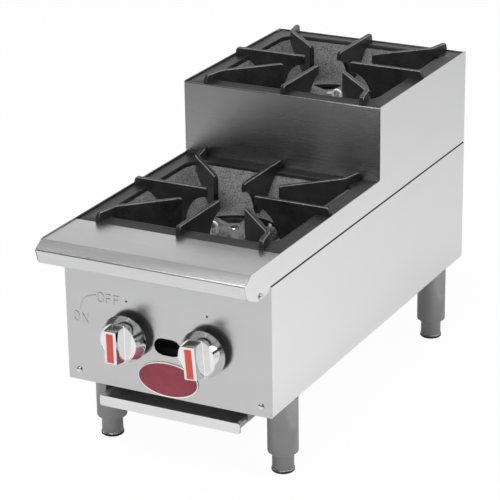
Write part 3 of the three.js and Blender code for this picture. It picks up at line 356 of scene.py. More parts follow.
def tidied(mesh, smooth, heal=True):
    """Merges a mesh's doubled corners, heals it, and shades it round but for its sharp edges."""
    made = bmesh.new()
    made.from_mesh(mesh)
    bmesh.ops.remove_doubles(made, verts=made.verts, dist=1e-6)
    if heal:
        bmesh.ops.dissolve_degenerate(made, edges=made.edges, dist=1e-7)
        bmesh.ops.recalc_face_normals(made, faces=made.faces)
    made.to_mesh(mesh)
    made.free()
    mesh.shade_smooth()
    mesh.set_sharp_from_angle(angle=math.radians(smooth))


def piece(name, shape, finish, node=None, body=None, smooth=35, edge=0.0, pick=None):
    """Makes an object of points and faces, rounds its edges, and sets it on its body in place of its node.
    Where finish is a list, pick says which of them each face takes."""
    points, faces = shape
    mesh = bpy.data.meshes.new(name)
    mesh.from_pydata((np.asarray(points) + (0, PANEL_FACE, 0)).tolist(), [], faces)
    tidied(mesh, smooth)
    for material in finish if pick else [finish]:
        mesh.materials.append(material)
    if pick:
        centres, normals = face_values(mesh)
        chosen = pick(centres - (0, PANEL_FACE, 0), normals)
        mesh.polygons.foreach_set("material_index", chosen.astype(np.int32))
    thing = linked(name, mesh)
    if edge:
        bevel = thing.modifiers.new("edge", "BEVEL")
        bevel.width, bevel.segments, bevel.limit_method = edge, 2, "ANGLE"
        bevel.angle_limit = math.radians(40)
        bevel.harden_normals = True
    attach(thing, body or BODY_OF[node])
    if node:
        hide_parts(node)
    return thing


def dressed(node, finish):
    """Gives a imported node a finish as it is."""
    thing = frame["nodes"][node]
    if not thing.material_slots:
        thing.data.materials.append(finish)
    for held in thing.material_slots:
        held.material = finish


def smoothed(node, finish, angle=34):
    """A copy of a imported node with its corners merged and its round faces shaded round."""
    mesh = frame["nodes"][node].data.copy()
    mesh.name = node + "_smooth"
    tidied(mesh, angle, heal=False)
    mesh.materials.clear()
    mesh.materials.append(finish)
    thing = linked(node + "_smooth", mesh)
    even = thing.modifiers.new("even", "WEIGHTED_NORMAL")
    even.keep_sharp = True
    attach(thing, BODY_OF[node])
    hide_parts(node)
    return thing


# Finishes


def wired(tree, kind, inputs, output=0, **options):
    """Adds a shader node with its options, gives each input a value or another node's output, and returns
    one of its own outputs."""
    node = tree.nodes.new(kind)
    for name, value in options.items():
        setattr(node, name, value)
    for key, value in inputs.items():
        if isinstance(value, bpy.types.NodeSocket):
            tree.links.new(value, node.inputs[key])
        else:
            node.inputs[key].default_value = value
    return node.outputs[output]


class Finish:
    """A material under construction, with its nodes and its main shader."""

    def __init__(self, name, base, metallic, roughness):
        """Starts a material of one colour."""
        self.material = bpy.data.materials.new(name)
        self.material.use_nodes = True
        self.tree = self.material.node_tree
        self.shader = self.tree.nodes["Principled BSDF"]
        self.base = base
        self.shader.inputs["Base Color"].default_value = (*base, 1)
        self.shader.inputs["Metallic"].default_value = metallic
        self.shader.inputs["Roughness"].default_value = roughness

    def feed(self, value, key):
        """Leads a value to one input of the main shader."""
        self.tree.links.new(value, self.shader.inputs[key])

    def noise(self, scale, detail, rough):
        """Noise on the object's own coordinates, stretched by the scale along each axis."""
        spot = wired(self.tree, "ShaderNodeTexCoord", {}, "Object")
        stretched = wired(self.tree, "ShaderNodeMapping", {"Vector": spot, "Scale": scale}, "Vector")
        parts = {"Vector": stretched, "Scale": 1.0, "Detail": detail, "Roughness": rough}
        return wired(self.tree, "ShaderNodeTexNoise", parts, "Fac")

    def spread(self, value, low, high):
        """Maps a value's middle stretch onto a span."""
        span = {"Value": value, "From Min": 0.3, "From Max": 0.7, "To Min": low, "To Max": high}
        return wired(self.tree, "ShaderNodeMapRange", span, "Result")

    def added(self, first, second):
        """The sum of two values."""
        return wired(self.tree, "ShaderNodeMath", {0: first, 1: second}, operation="ADD")

    def blend(self, fine, fine_span, broad, broad_span):
        """The sum of a fine and a broad value, each mapped onto its own span."""
        return self.added(self.spread(fine, *fine_span), self.spread(broad, *broad_span))

    def tint(self, value, dark, light):
        """Shades the base colour between two strengths by a value."""
        ramp = self.tree.nodes.new("ShaderNodeValToRGB")
        stops = ramp.color_ramp.elements
        stops[0].position, stops[1].position = 0.3, 0.7
        for stop, strength in zip(stops, (dark, light)):
            stop.color = (*[min(c * strength, 1) for c in self.base], 1)
        self.tree.links.new(value, ramp.inputs["Fac"])
        self.feed(ramp.outputs["Color"], "Base Color")

    def rough(self, value):
        """Sets the roughness by a value."""
        self.feed(value, "Roughness")

    def bump(self, value, strength, distance):
        """Raises the surface by a value."""
        parts = {"Strength": strength, "Distance": distance, "Height": value}
        self.feed(wired(self.tree, "ShaderNodeBump", parts, "Normal"), "Normal")


def brushed(name, base, roughness, along, grain=2600.0, scratch=0.00004, uneven=0.05):
    """Brushed steel: fine noise drawn out along the brushing gives scratches that smear a reflection square
    to them, with a little colour, and broad soft clouds vary the gloss as handling does."""
    finish = Finish(name, base, 1.0, roughness)
    fine = [14.0 if axis in along else grain for axis in "xyz"]
    broad = [5.0 if axis in along else 34.0 for axis in "xyz"]
    lines = finish.noise(fine, 5.0, 0.7)
    clouds = finish.noise(broad, 3.0, 0.6)
    finish.rough(finish.blend(lines, (-0.02, 0.02), clouds, (roughness - 0.02, roughness + 0.03)))
    finish.tint(finish.blend(lines, (0.1, 0.4), clouds, (0.1, 0.3)), 1 - uneven, 1 + uneven)
    finish.bump(lines, 1.0, scratch)
    return finish.material


def smeared(name, base, roughness, along, spread):
    """Brushed steel on a piece without live modifiers, whose reflections are drawn out square to the
    brushing: the shader's own spread, turned about the brushing's first axis, over the same grain."""
    material = brushed(name, base, roughness, along, scratch=0.00002)
    tree = material.node_tree
    shader = tree.nodes["Principled BSDF"]
    shader.inputs["Anisotropic"].default_value = spread
    axis = along[0].upper()
    about = wired(tree, "ShaderNodeTangent", {}, direction_type="RADIAL", axis=axis)
    tree.links.new(about, shader.inputs["Tangent"])
    return material


def cast(name, base, roughness=0.34, grain=560.0, height=0.0003, speckle=0.5):
    """Coated cast iron: fine pebbled height, patches of gloss and a speckled, uneven tone."""
    finish = Finish(name, base, 0.0, roughness)
    pebble = finish.noise((grain,) * 3, 4.0, 0.65)
    patch = finish.noise((38.0,) * 3, 4.0, 0.6)
    finish.rough(finish.blend(pebble, (-0.04, 0.06), patch, (roughness - 0.06, roughness + 0.08)))
    finish.tint(finish.blend(pebble, (0.3 - speckle / 2, 0.3 + speckle / 2), patch, (0.1, 0.4)), 0.45, 2.0)
    finish.bump(pebble, 1.0, height)
    finish.shader.inputs["Specular IOR Level"].default_value = 0.5
    return finish.material


def plated(name, base, roughness=0.04):
    """Polished plating: a mirror with faint waves from the polish and a little haze."""
    finish = Finish(name, base, 1.0, roughness)
    wave = finish.noise((90.0,) * 3, 2.0, 0.5)
    haze = finish.noise((420.0,) * 3, 4.0, 0.6)
    finish.rough(finish.spread(haze, roughness * 0.7, roughness * 1.5))
    finish.tint(wave, 0.98, 1.01)
    finish.bump(wave, 0.12, 0.0001)
    return finish.material


def enamel(name, base, roughness=0.3):
    """Glossy paint or moulded plastic with faint orange peel and slight unevenness of tone."""
    finish = Finish(name, base, 0.0, roughness)
    peel = finish.noise((1500.0,) * 3, 2.0, 0.5)
    patch = finish.noise((60.0,) * 3, 3.0, 0.5)
    finish.rough(finish.spread(patch, roughness - 0.04, roughness + 0.06))
    finish.tint(patch, 0.94, 1.05)
    finish.bump(peel, 0.12, 0.00004)
    finish.shader.inputs["Coat Weight"].default_value = 0.1
    finish.shader.inputs["Coat Roughness"].default_value = 0.12
    return finish.material


def turned_metal(name, base, roughness, metallic=1.0):
    """Turned or drawn metal: fine even grain with stains."""
    finish = Finish(name, base, metallic, roughness)
    grain = finish.noise((1400.0,) * 3, 4.0, 0.6)
    stain = finish.noise((70.0,) * 3, 4.0, 0.65)
    finish.rough(finish.blend(grain, (-0.04, 0.04), stain, (roughness - 0.05, roughness + 0.08)))
    finish.tint(finish.blend(grain, (0.1, 0.3), stain, (0.1, 0.5)), 0.8, 1.1)
    finish.bump(grain, 0.25, 0.00004)
    return finish.material


def finishes(scene):
    """Every finish of the range, made once."""
    if "range_panel_steel" in bpy.data.materials:
        made = [material for name, material in bpy.data.materials.items() if name.startswith("range_")]
        return {material.name[6:]: material for material in made}
    steel, gloss = tuple(scene.range_casing.steel), scene.range_casing.gloss
    made = [
        # The panel, riser, side and tray steels are one stainless sheet made darker or lighter: painted shade
        # on the front and rear panels and the riser, painted light on the sides and the tray's outside.
        brushed("range_panel_steel", tuple(c * 0.84 for c in steel), gloss, "x"),
        smeared("range_riser_steel", tuple(c * 0.54 for c in steel), 0.26, "x", 0.92),
        brushed("range_side_steel", tuple(c * 1.27 for c in steel), gloss, "y", uneven=0.03),
        brushed("range_ledge_steel", steel, gloss + 0.03, "x", scratch=0.00003, uneven=0.08),
        brushed("range_tray_steel", tuple(c * 1.15 for c in steel), gloss, "x"),
        turned_metal("range_pan_steel", (0.62, 0.62, 0.62), 0.45, 0.35),
        smeared("range_leg_steel", tuple(scene.range_legs.plate), 0.42, "xy", 0.92),
        turned_metal("range_inner_steel", (0.45, 0.45, 0.45), 0.42, 0.5),
        cast("range_grate_iron", tuple(scene.range_grates.iron)),
        cast("range_bowl_iron", tuple(scene.range_grates.bowl), 0.5, 520.0, 0.0006, 1.3),
        # A lighter iron on the arms' rounded upper edges: a painted highlight.
        cast("range_grate_edge", (0.16, 0.16, 0.16), 0.3, 560.0, 0.0001),
        cast("range_burner_iron", tuple(scene.range_burners.cast), 0.5, 520.0, 0.0004, 1.2),
        # Black that stands for shade: painted shade inside the burner ports and a painted shadow round the
        # badge's edge.
        enamel("range_port_black", (0.004, 0.004, 0.004), 0.6),
        plated("range_chrome", tuple(scene.range_knobs.chrome)),
        plated("range_screw_plate", (0.7, 0.7, 0.7), 0.16),
        enamel("range_knob_back", (0.45, 0.45, 0.45), 0.5),
        enamel("range_stripe_red", tuple(scene.range_knobs.stripe), 0.32),
        enamel("range_stripe_white", (0.85, 0.83, 0.83), 0.3),
        enamel("range_badge_red", tuple(scene.range_badge.enamel), 0.26),
        # The badge's border white is brighter than its enamel: painted light that makes up for the shade under
        # the ledge.
        enamel("range_badge_white", tuple(scene.range_badge.border), 0.3),
        turned_metal("range_brass", (0.45, 0.33, 0.13), 0.33),
        # Black iron pipe; the pilot screws take it too, as painted shade that makes the pilot holes look dark.
        turned_metal("range_black_pipe", (0.03, 0.03, 0.031), 0.5, 0.4),
        turned_metal("range_bright_tube", (0.9, 0.9, 0.9), 0.4, 0.35),
        # The letters take a slightly darker copy of the panel's steel: painted shade of the pressing.
        brushed("range_letter_steel", (0.5, 0.5, 0.5), 0.2, "x"),
        enamel("range_foot_rubber", (0.02, 0.02, 0.02), 0.6),
        # Painted shade for the groove under the joint of the side sheets.
        turned_metal("range_seam_shade", (0.06, 0.06, 0.06), 0.6, 0.5),
    ]
    return {material.name[6:]: material for material in made}


# Casing


def side_outline():
    """The outline of an upper side sheet: a step at the back and a nose that ends in a rounded toe."""
    nose = np.array([(-69.6, -10.9), (-63.6, -30.4), (-38, -41.5), (-7, -41.5), (-1.5, -34)]) * MM
    nose = nose + (0, LOWER_TOP)
    crease = np.array([[-51.6 * MM, LOWER_TOP]])
    back = [(DEPTH, SEAM), (DEPTH, UPPER_TOP), (STEP_FACE, UPPER_TOP), (STEP_FACE, LOWER_TOP)]
    return np.vstack([crease, rounded(nose, 12 * MM, 8), back])


def ledge_shape(settings):
    """The front ledge: one folded sheet, down behind, over the top, round the nose and back to the panel."""
    top = LOWER_TOP - 1.5 * MM
    path = [(33, -22), (33, 0), (-51, 0), (-69, -9.5), (-63, -29.5), (-1.1, -33.5), (-1.1, -21.5)]
    path = np.array(path) * MM
    section = sheet_section(path + (0, top), settings.sheet, settings.bend)
    return extruded(section, -HALF_INSIDE, HALF_INSIDE, "x")


def riser_shape(settings):
    """The riser between the two levels, with a narrow hem folded over its top."""
    top = UPPER_TOP - 1.5 * MM
    path = np.array([(2.9, -11), (2.9, 0), (0, 0), (0, -128.5)]) * MM + (STEP_FACE, top)
    section = sheet_section(path, settings.sheet, 1.32 * MM)
    return extruded(section, -HALF_INSIDE, HALF_INSIDE, "x")


class RANGE_OT_casing(bpy.types.Operator):
    """Make the stainless casing"""

    bl_idname = "range.casing"
    bl_label = "Casing"

    def execute(self, context):
        scene = context.scene
        settings, look = scene.range_casing, finishes(scene)
        for side, sign in (("right", 1), ("left", -1)):
            edges = sorted((sign * HALF_WIDTH, sign * (HALF_WIDTH - settings.sheet)))
            shape = extruded(side_outline(), *edges, "x")
            # The side sheets' broad faces take the lightened copy of the steel, which is painted light, and
            # their cut edges the ledge's steel.
            rim = lambda centres, normals: np.abs(normals[:, 0]) < 0.7
            steels = [look["side_steel"], look["ledge_steel"]]
            name, node = "upper_side_" + side, "side_upper_" + side
            piece(name, shape, steels, node, edge=settings.edge, pick=rim)
            lower = smoothed("side_lower_" + side, look["side_steel"], 50)
            self.paint_seam_shade(lower, look["seam_shade"])
        # The front and rear panels take the darkened copy of the steel and the riser a darker one still:
        # painted shade.
        dressed("front_panel", look["panel_steel"])
        piece("ledge", ledge_shape(settings), look["ledge_steel"], "front_ledge", edge=settings.edge)
        piece("riser", riser_shape(settings), look["riser_steel"], "riser_panel")
        smoothed("rear_panel", look["panel_steel"], 50)
        for node in (
            "top_frame_front",
            "top_frame_rear",
            "cross_rail_front",
            "cross_rail_rear",
            "burner_support_front",
            "burner_support_rear",
            "tray_runner_left",
            "tray_runner_right",
        ):
            smoothed(node, look["inner_steel"], 50)
        return {"FINISHED"}

    def paint_seam_shade(self, thing, finish):
        """Paints shade on the narrow step under the joint of the side sheets: a dark, dull finish that stands
        for the shadow in the groove.
        """
        mesh = thing.data
        mesh.materials.append(finish)
        centres, normals = face_values(mesh)
        step = (centres[:, 2] > SEAM - 3.2 * MM) & (np.abs(normals[:, 1]) < 0.5)
        step &= np.abs(normals[:, 0]) < 0.97
        mesh.polygons.foreach_set("material_index", step.astype(np.int32))


def letter_lines(letter, x, z, width, height):
    """The strokes of a capital letter from its lower left corner, each a line of points x and z."""
    if letter == "O":
        turn = np.linspace(0, 2 * np.pi, 41)
        return [np.stack([x + width / 2 * (1 + np.sin(turn)), z + height / 2 * (1 + np.cos(turn))], 1)]
    shares = {
        "F": [[(1, 1), (0, 1), (0, 0)], [(0, 0.54), (0.86, 0.54)]],
        "N": [[(0, 0), (0, 1), (1, 0), (1, 1)]],
    }[letter]
    return [np.array(line) * (width, height) + (x, z) for line in shares]


def pressed(line, stroke):
    """A low round ridge on the panel along points x and z: a bar flattened to three fifths of its height."""
    line = np.asarray(line)
    path = np.column_stack([line[:, 0], np.zeros(len(line)), line[:, 1]])
    points, faces = carried(path, stroke / 2, 12)
    return points * (1, 0.6, 1), faces


class RANGE_OT_lettering(bpy.types.Operator):
    """Make the pressed switch words beside the left knob"""

    bl_idname = "range.lettering"
    bl_label = "Switch words"

    def execute(self, context):
        settings = context.scene.range_casing
        look, tall, stroke = finishes(context.scene), settings.letter_height, settings.stroke
        words = {
            "off": [("O", -103.4, 227.7, 8.9), ("F", -90.6, 226.9, 7.0), ("F", -78.8, 226.9, 7.4)],
            "on": [("O", -140.4, 195.0, 7.4), ("N", -127.8, 194.4, 8.0)],
        }
        for word, letters in words.items():
            lines = [
                pressed(line, stroke)
                for letter, x, z, width in letters
                for line in letter_lines(letter, x * MM, z * MM, width * MM, tall - stroke)
            ]
            # The strokes take the darker letter steel: painted shade of the pressing.
            piece("word_" + word, joined(*lines), look["letter_steel"], body="casing", smooth=50)
        bow = np.array([(-106.1, 236), (-115.1, 234), (-123.4, 229), (-128.8, 220.9), (-130.9, 211.7)]) * MM
        arc = pressed(smooth_path(bow, 8), stroke * 0.8)
        piece("word_arc", arc, look["letter_steel"], body="casing", smooth=50)
        return {"FINISHED"}


# Grates


def ray_reach(half_x, half_y, radius, angle):
    """How far a ray at an angle runs from the middle of a rounded rectangle to its edge: to the nearest
    straight side, or where it meets a corner's circle."""
    half_x, half_y, radius, angle = np.broadcast_arrays(half_x, half_y, radius, angle)
    c, s = np.abs(np.cos(angle)), np.abs(np.sin(angle))
    flat = np.minimum(half_x / np.maximum(c, 1e-9), half_y / np.maximum(s, 1e-9))
    cx, cy = half_x - radius, half_y - radius
    along = c * cx + s * cy
    under = along**2 - (cx**2 + cy**2 - radius**2)
    corner = (c * flat > cx) & (s * flat > cy) & (under > 0)
    return np.where(corner, along + np.sqrt(np.maximum(under, 0)), flat)


# Half width, half depth, corner radius and height of the rings of a grate, from its outer lower edge over
# the rim and down the bowl, and back underneath. Millimetres, with the rim's top at 0.
GRATE_RINGS = [
    (150.3, 149.5, 4, -6),
    (150.3, 149.5, 4, -1.6),
    (149.8, 149.0, 3.8, -0.5),
    (148.7, 147.9, 3.6, 0),
    (132.4, 131.6, 28, 0),
    (131.2, 130.4, 28, 0.8),
    (129.8, 129.0, 28, 1.1),
    (128.4, 127.6, 28, 0.7),
    (127.7, 126.9, 28, -0.6),
    (127.0, 126.3, 28, -4.4),
    (125.8, 125.2, 28, -5.4),
    (122.3, 122.0, 28.5, -7.2),
    (118.4, 118.2, 30, -10.2),
    (107.0, 107.0, 38, -21.4),
    (95.5, 95.5, 48, -32.6),
    (91.0, 91.0, 51.5, -36.2),
    (86.5, 86.5, 54.5, -39.0),
    (81.0, 81.0, 58.5, -41.4),
    (74.0, 74.0, 63, -43.8),
    (68.5, 68.5, 66, -45.6),
    (67.3, 67.3, 67.3, -46.6),
    (66.9, 66.9, 66.9, -48.3),
    (67.4, 67.4, 67.4, -50.2),
    (69.5, 69.5, 69.5, -51),
    (92.5, 92.5, 52, -42.5),
    (116.0, 115.5, 30, -18),
    (127.5, 127.0, 28, -6),
]
TOP_RINGS = 21


def wall_height(x, y):
    """Height of the casting's upper face over each place, read along the ray from the middle."""
    rings = np.array(GRATE_RINGS[:TOP_RINGS])[::-1] * MM
    angle = np.arctan2(y, x)
    reach = ray_reach(rings[:, :1], rings[:, 1:2], rings[:, 2:3], angle[None, :])
    distance = np.hypot(x, y)
    return np.array([np.interp(d, column, rings[:, 3]) for d, column in zip(distance, reach.T)])


def arm_web(x, y, top, low, half, edge):
    """An upright arm along places: each section is a bar with rounded upper corners and a slight draft,
    square to the way the arm runs, and the inner end narrows as a cast end does."""
    way = np.stack([np.gradient(x), np.gradient(y)], 1)
    way /= np.linalg.norm(way, axis=1, keepdims=True)
    side = np.stack([-way[:, 1], way[:, 0]], 1)
    e = edge
    across = np.array([-1.08, -1.04, -1, -0.93, -0.78, -0.5, 0.5, 0.78, 0.93, 1, 1.04, 1.08])
    drop = np.array([None, 3.2, 1.0, 0.42, 0.12, 0, 0, 0.12, 0.42, 1.0, 3.2, None])
    run = np.hypot(x - x[0], y - y[0])
    narrow = 0.62 + 0.38 * np.sqrt(np.clip(1 - (1 - np.clip(run / (1.8 * MM), 0, 1)) ** 2, 0, 1))
    width = (half * narrow)[:, None] * across[None, :]
    heights = np.stack([low if d is None else np.maximum(top - d * e, low) for d in drop], 1)
    points = np.stack([x[:, None] + side[:, :1] * width, y[:, None] + side[:, 1:] * width, heights], -1)
    rows, columns = heights.shape
    return points.reshape(-1, 3), grid_faces(rows, columns) + end_faces(rows, columns)


def arm_heights(x, y, settings, tip, tip_height, half_y, half_x, straight_along_x):
    """Upper and lower edge of an arm. The top is level with a rounded tip and runs down to a post at the
    rim, and the lower edge is a quarter ellipse from the tip to the bowl."""
    rise = settings.arm_rise
    r = np.hypot(x, y)
    clear = max(67 * MM, tip) + 5.5 * MM
    wall = wall_height(x, y) - 2.5 * MM
    part = np.clip((r - tip) / (clear - tip), 0, 1)
    hollow = (rise - tip_height) + (wall - (rise - tip_height)) * (1 - np.sqrt(np.clip(1 - part**2, 0, 1)))
    low = np.where(r < clear, hollow, wall)
    inset = half_x - np.abs(x) if straight_along_x else half_y - np.abs(y)
    low = np.where(inset < 20 * MM, -3 * MM, low)
    post = np.clip(1 - (inset - 1.4 * MM) / (4.2 * MM), 0, 1)
    top = rise - (rise * 0.8) * (1 - np.sqrt(1 - post**2))
    crown = np.clip((r - tip) / (3.4 * MM), 0, 1)
    top = top - 3.4 * MM * (1 - np.sqrt(np.clip(1 - (1 - crown) ** 2, 0, 1)))
    return top, low


def stretches(marks, counts):
    """Values from mark to mark, as many in each stretch as its count says, the marks between shared."""
    runs = [np.linspace(*span, count) for *span, count in zip(marks, marks[1:], counts)]
    return np.concatenate([run[:-1] for run in runs[:-1]] + runs[-1:])


def grate_shape(settings):
    """The casting as rings of a rounded square that turns into a circle, with four straight arms and four
    arms that start on the diagonals and bend square to the front and rear."""
    rings = np.array(GRATE_RINGS) * MM
    angle = np.linspace(0, 2 * np.pi, settings.around, endpoint=False)
    reach = ray_reach(rings[:, :1], rings[:, 1:2], rings[:, 2:3], angle[None, :])
    points = np.stack([reach * np.cos(angle), reach * np.sin(angle), rings[:, 3:] + 0 * angle], -1)
    shapes = [(points.reshape(-1, 3), grid_faces(len(rings), settings.around, close_rows=True))]
    half_x, half_y = 150.3 * MM, 149.5 * MM
    half = settings.arm / 2
    for turn in range(4):
        end = (half_y if turn % 2 else half_x) - 1.4 * MM
        tip = 36 * MM
        run = tip + (end - tip) * stretches((0, 0.035, 0.32, 0.94, 1), (10, 22, 14, 14))
        x, y = run * round(math.cos(turn * math.pi / 2)), run * round(math.sin(turn * math.pi / 2))
        top, low = arm_heights(x, y, settings, tip, 13 * MM, half_y, half_x, turn % 2 == 0)
        shapes.append(arm_web(x, y, top, low, half, settings.edge))
    tip = 68.5 * MM
    corners = np.array([(tip / math.sqrt(2),) * 2, (114 * MM, 114 * MM), (121 * MM, half_y - 1.4 * MM)])
    bent = rounded(corners, 15 * MM, 10)
    inner = np.linspace(bent[0], bent[1], 34)[:-1]
    ahead = (bent[1] - bent[0]) / np.linalg.norm(bent[1] - bent[0])
    near = bent[0] + ahead * np.linspace(0, 4 * MM, 9)[1:-1, None]
    inner = np.vstack([inner[:1], near, inner[2:]])
    outer = bent[-2] + (bent[-1] - bent[-2]) * stretches((0, 0.7, 1), (6, 14))[1:, None]
    line = np.vstack([inner, bent[1:-1], outer])
    for sx, sy in ((1, 1), (-1, 1), (-1, -1), (1, -1)):
        x, y = line[:, 0] * sx, line[:, 1] * sy
        top, low = arm_heights(x, y, settings, tip, 27 * MM, half_y, half_x, False)
        shapes.append(arm_web(x, y, top, low, half, settings.edge))
    return joined(*shapes)


def cast_parts(centres, normals, y, level):
    """Which finish each face takes: 1 on the rounded upper edges of the arms, which are the faces above the
    rim that lean sideways, square to the arm, by between 15 and 80 degrees and take a lighter iron as a
    painted highlight, 2 in the bowl, and 0 elsewhere."""
    x, y = centres[:, 0], centres[:, 1] - y
    straight = np.array([[0.0, 1.0], [1.0, 0.0]])[(np.abs(x) < 5 * MM).astype(int)]
    slanted = np.stack([np.sign(y), -np.sign(x)], 1) / math.sqrt(2)
    bent = np.abs(y) > 122 * MM
    slanted[bent] = (1, 0)
    across = np.where(((np.abs(x) < 5 * MM) | (np.abs(y) < 5 * MM))[:, None], straight, slanted)
    lean = np.abs((normals[:, :2] * across).sum(1))
    edge = (centres[:, 2] > level + 1.5 * MM) & (normals[:, 2] > 0.15) & (lean > 0.26) & (lean < 0.985)
    bowl = (centres[:, 2] < level - 2.2 * MM) & (normals[:, 2] > 0.3)
    return edge + 2 * bowl


def burner_places():
    """End of the range, middle of the grate and top edge of the sides, for each burner."""
    front = (33 + 1 + 299 / 2) * MM
    rear = STEP_FACE + (2.9 + 1 + 299 / 2) * MM
    return (("front", front, LOWER_TOP), ("rear", rear, UPPER_TOP))


class RANGE_OT_grates(bpy.types.Operator):
    """Make the two cast-iron top grates"""

    bl_idname = "range.grates"
    bl_label = "Top grates"

    def execute(self, context):
        scene = context.scene
        look = finishes(scene)
        points, faces = grate_shape(scene.range_grates)
        for end, y, top in burner_places():
            level = top - RIM_DROP
            parts = lambda centres, normals, y=y, level=level: cast_parts(centres, normals, y, level)
            # Faces picked as 1 are the arms' upper edges, whose lighter iron is a painted highlight.
            irons = [look["grate_iron"], look["grate_edge"], look["bowl_iron"]]
            shape = (points + (0, y, level), faces)
            piece("top_grate_" + end, shape, irons, "grate_" + end, smooth=38, pick=parts)
        return {"FINISHED"}


# Burners


def star_reach(angle, width, hub, reach):
    """How far a ray at an angle runs inside a six-armed star: out through an arm's side or its round end,
    and at least to the hub's circle."""
    out = np.full_like(angle, hub)
    for arm in np.pi / 2 + np.arange(6) * np.pi / 3:
        off = (angle - arm + np.pi) % (2 * np.pi) - np.pi
        s, c = np.abs(np.sin(off)), np.cos(off)
        through = width / np.maximum(s, 1e-9)
        round_end = reach * c + np.sqrt(np.maximum(width**2 - (reach * s) ** 2, 0))
        value = np.where(through * c < reach, through, round_end)
        out = np.maximum(out, np.where(c > 0, value, 0))
    return out


def head_shape(settings, x, y, low, high):
    """The burner head: rings of the star from its foot up the side, over the drilled bevel to a flat top."""
    angle = np.linspace(0, 2 * np.pi, 420, endpoint=False)
    half, bevel = settings.arm / 2, settings.bevel
    reach = settings.reach - half
    rise = high - low
    rings = [
        (half, 27 * MM, 0),
        (half, 26 * MM, rise - 6.4 * MM),
        (half - 0.3 * MM, 25 * MM, rise - 5.6 * MM),
        (half - bevel + 0.3 * MM, 21.5 * MM, rise - 0.5 * MM),
        (half - bevel, 20.8 * MM, rise),
        (0.6 * MM, 12 * MM, rise),
    ]
    points = []
    for width, hub, z in rings:
        out = star_reach(angle, width, hub, reach)
        points.append(np.stack([x + out * np.cos(angle), y + out * np.sin(angle), 0 * angle + low + z], -1))
    count = len(angle)
    faces = grid_faces(len(rings), count) + end_faces(len(rings), count)
    profile = np.array([(0, -1), (6.5, -1), (6.5, 1.2), (5.6, 2), (0, 2)]) * MM + (0, high)
    boss = revolved(profile, (x, y), "z", 24)
    return joined((np.vstack(points), faces), boss)


def port_discs(settings, x, y, high):
    """The ports: short eight-sided plugs set square to the bevel, in a row along each side of each arm and
    three round each end. Their black is painted shade for the dark inside of the drilled ports."""
    half, bevel = settings.arm / 2, settings.bevel
    reach = settings.reach - half
    mid, level = half - bevel / 2, high - 2.9 * MM
    rows = np.arange(28, 51, 6.8) * MM
    spots, outward = [], []
    for arm in np.pi / 2 + np.arange(6) * np.pi / 3:
        u, v = np.array([np.cos(arm), np.sin(arm)]), np.array([-np.sin(arm), np.cos(arm)])
        for side in (-1, 1):
            spots.append(rows[:, None] * u + side * mid * v)
            outward.append(np.repeat([side * v], len(rows), 0))
        for turn in (-0.9, 0, 0.9):
            way = math.cos(turn) * u + math.sin(turn) * v
            spots.append([reach * u + mid * way])
            outward.append([way])
    spots, outward = np.vstack(spots), np.vstack(outward)
    slope = 5.1 * MM / bevel
    normal = np.column_stack([outward * slope, np.ones(len(outward))])
    normal /= np.linalg.norm(normal, axis=1, keepdims=True)
    centre = np.column_stack([spots + (x, y), np.full(len(spots), level)])
    first = np.column_stack([-outward[:, 1], outward[:, 0], np.zeros(len(outward))])
    second = np.cross(normal, first)
    angle = np.linspace(0, 2 * np.pi, 8, endpoint=False)[None, None, :, None]
    disc = settings.port / 2 * (np.cos(angle) * first[:, None, None] + np.sin(angle) * second[:, None, None])
    depth = np.array([-0.8, 0.06])[None, :, None, None] * MM
    points = centre[:, None, None] + disc + depth * normal[:, None, None]
    start = np.arange(len(spots)) * 16
    ring = np.arange(8)
    turns = np.stack([ring, (ring + 1) % 8, 8 + (ring + 1) % 8, 8 + ring], -1)
    sides = (start[:, None, None] + turns).reshape(-1, 4)
    caps = [list(s + ring[::-1]) for s in start] + [list(s + 8 + ring) for s in start]
    return points.reshape(-1, 3), sides.tolist() + [[int(i) for i in cap] for cap in caps]


def pilot_path(side, y, top, reach, approach):
    """A pilot tube's line: back from its valve, up beside the burner, and over in a half circle."""
    head = top - RIM_DROP - BURNER_DROP
    mouth = 4.5 * MM + side * reach
    riser = mouth + side * 11 * MM
    level = y - 33 * MM
    start = np.array([side * 60 * MM, 30.3 * MM, UNDERSIDE + 126 * MM])
    foot = np.array([riser, level, head - 22 * MM])
    way = start + np.array(approach) * (foot - start)
    turn = np.linspace(0, np.pi, 7)
    centre, radius = (riser + mouth) / 2, 5.5 * MM
    over = head + 12.5 * MM + radius * np.sin(turn)
    arch = np.stack([centre + side * radius * np.cos(turn), 0 * turn + level, over], 1)
    return smooth_path(np.vstack([way, arch, [(mouth, level, head + 4 * MM)]]), 6)


# Shares of the way across, back and up from a pilot valve to its tube's riser.
PILOT_WAYS = {
    "front": [(0, 0, 0), (0, 0.25, 0), (0.05, 0.58, 0.2), (0.45, 0.85, 0.75), (0.86, 0.97, 0.93), (1, 1, 1.4)],
    "rear": [
        (0, 0, 0),
        (0, 0.02, 0),
        (-0.6, 0.12, 0),
        (-0.6, 0.5, 0),
        (-0.6, 0.83, 0.02),
        (-0.5, 0.9, 0.15),
        (0.2, 0.967, 0.66),
        (0.88, 0.996, 0.93),
        (1, 1, 1.05),
    ],
}


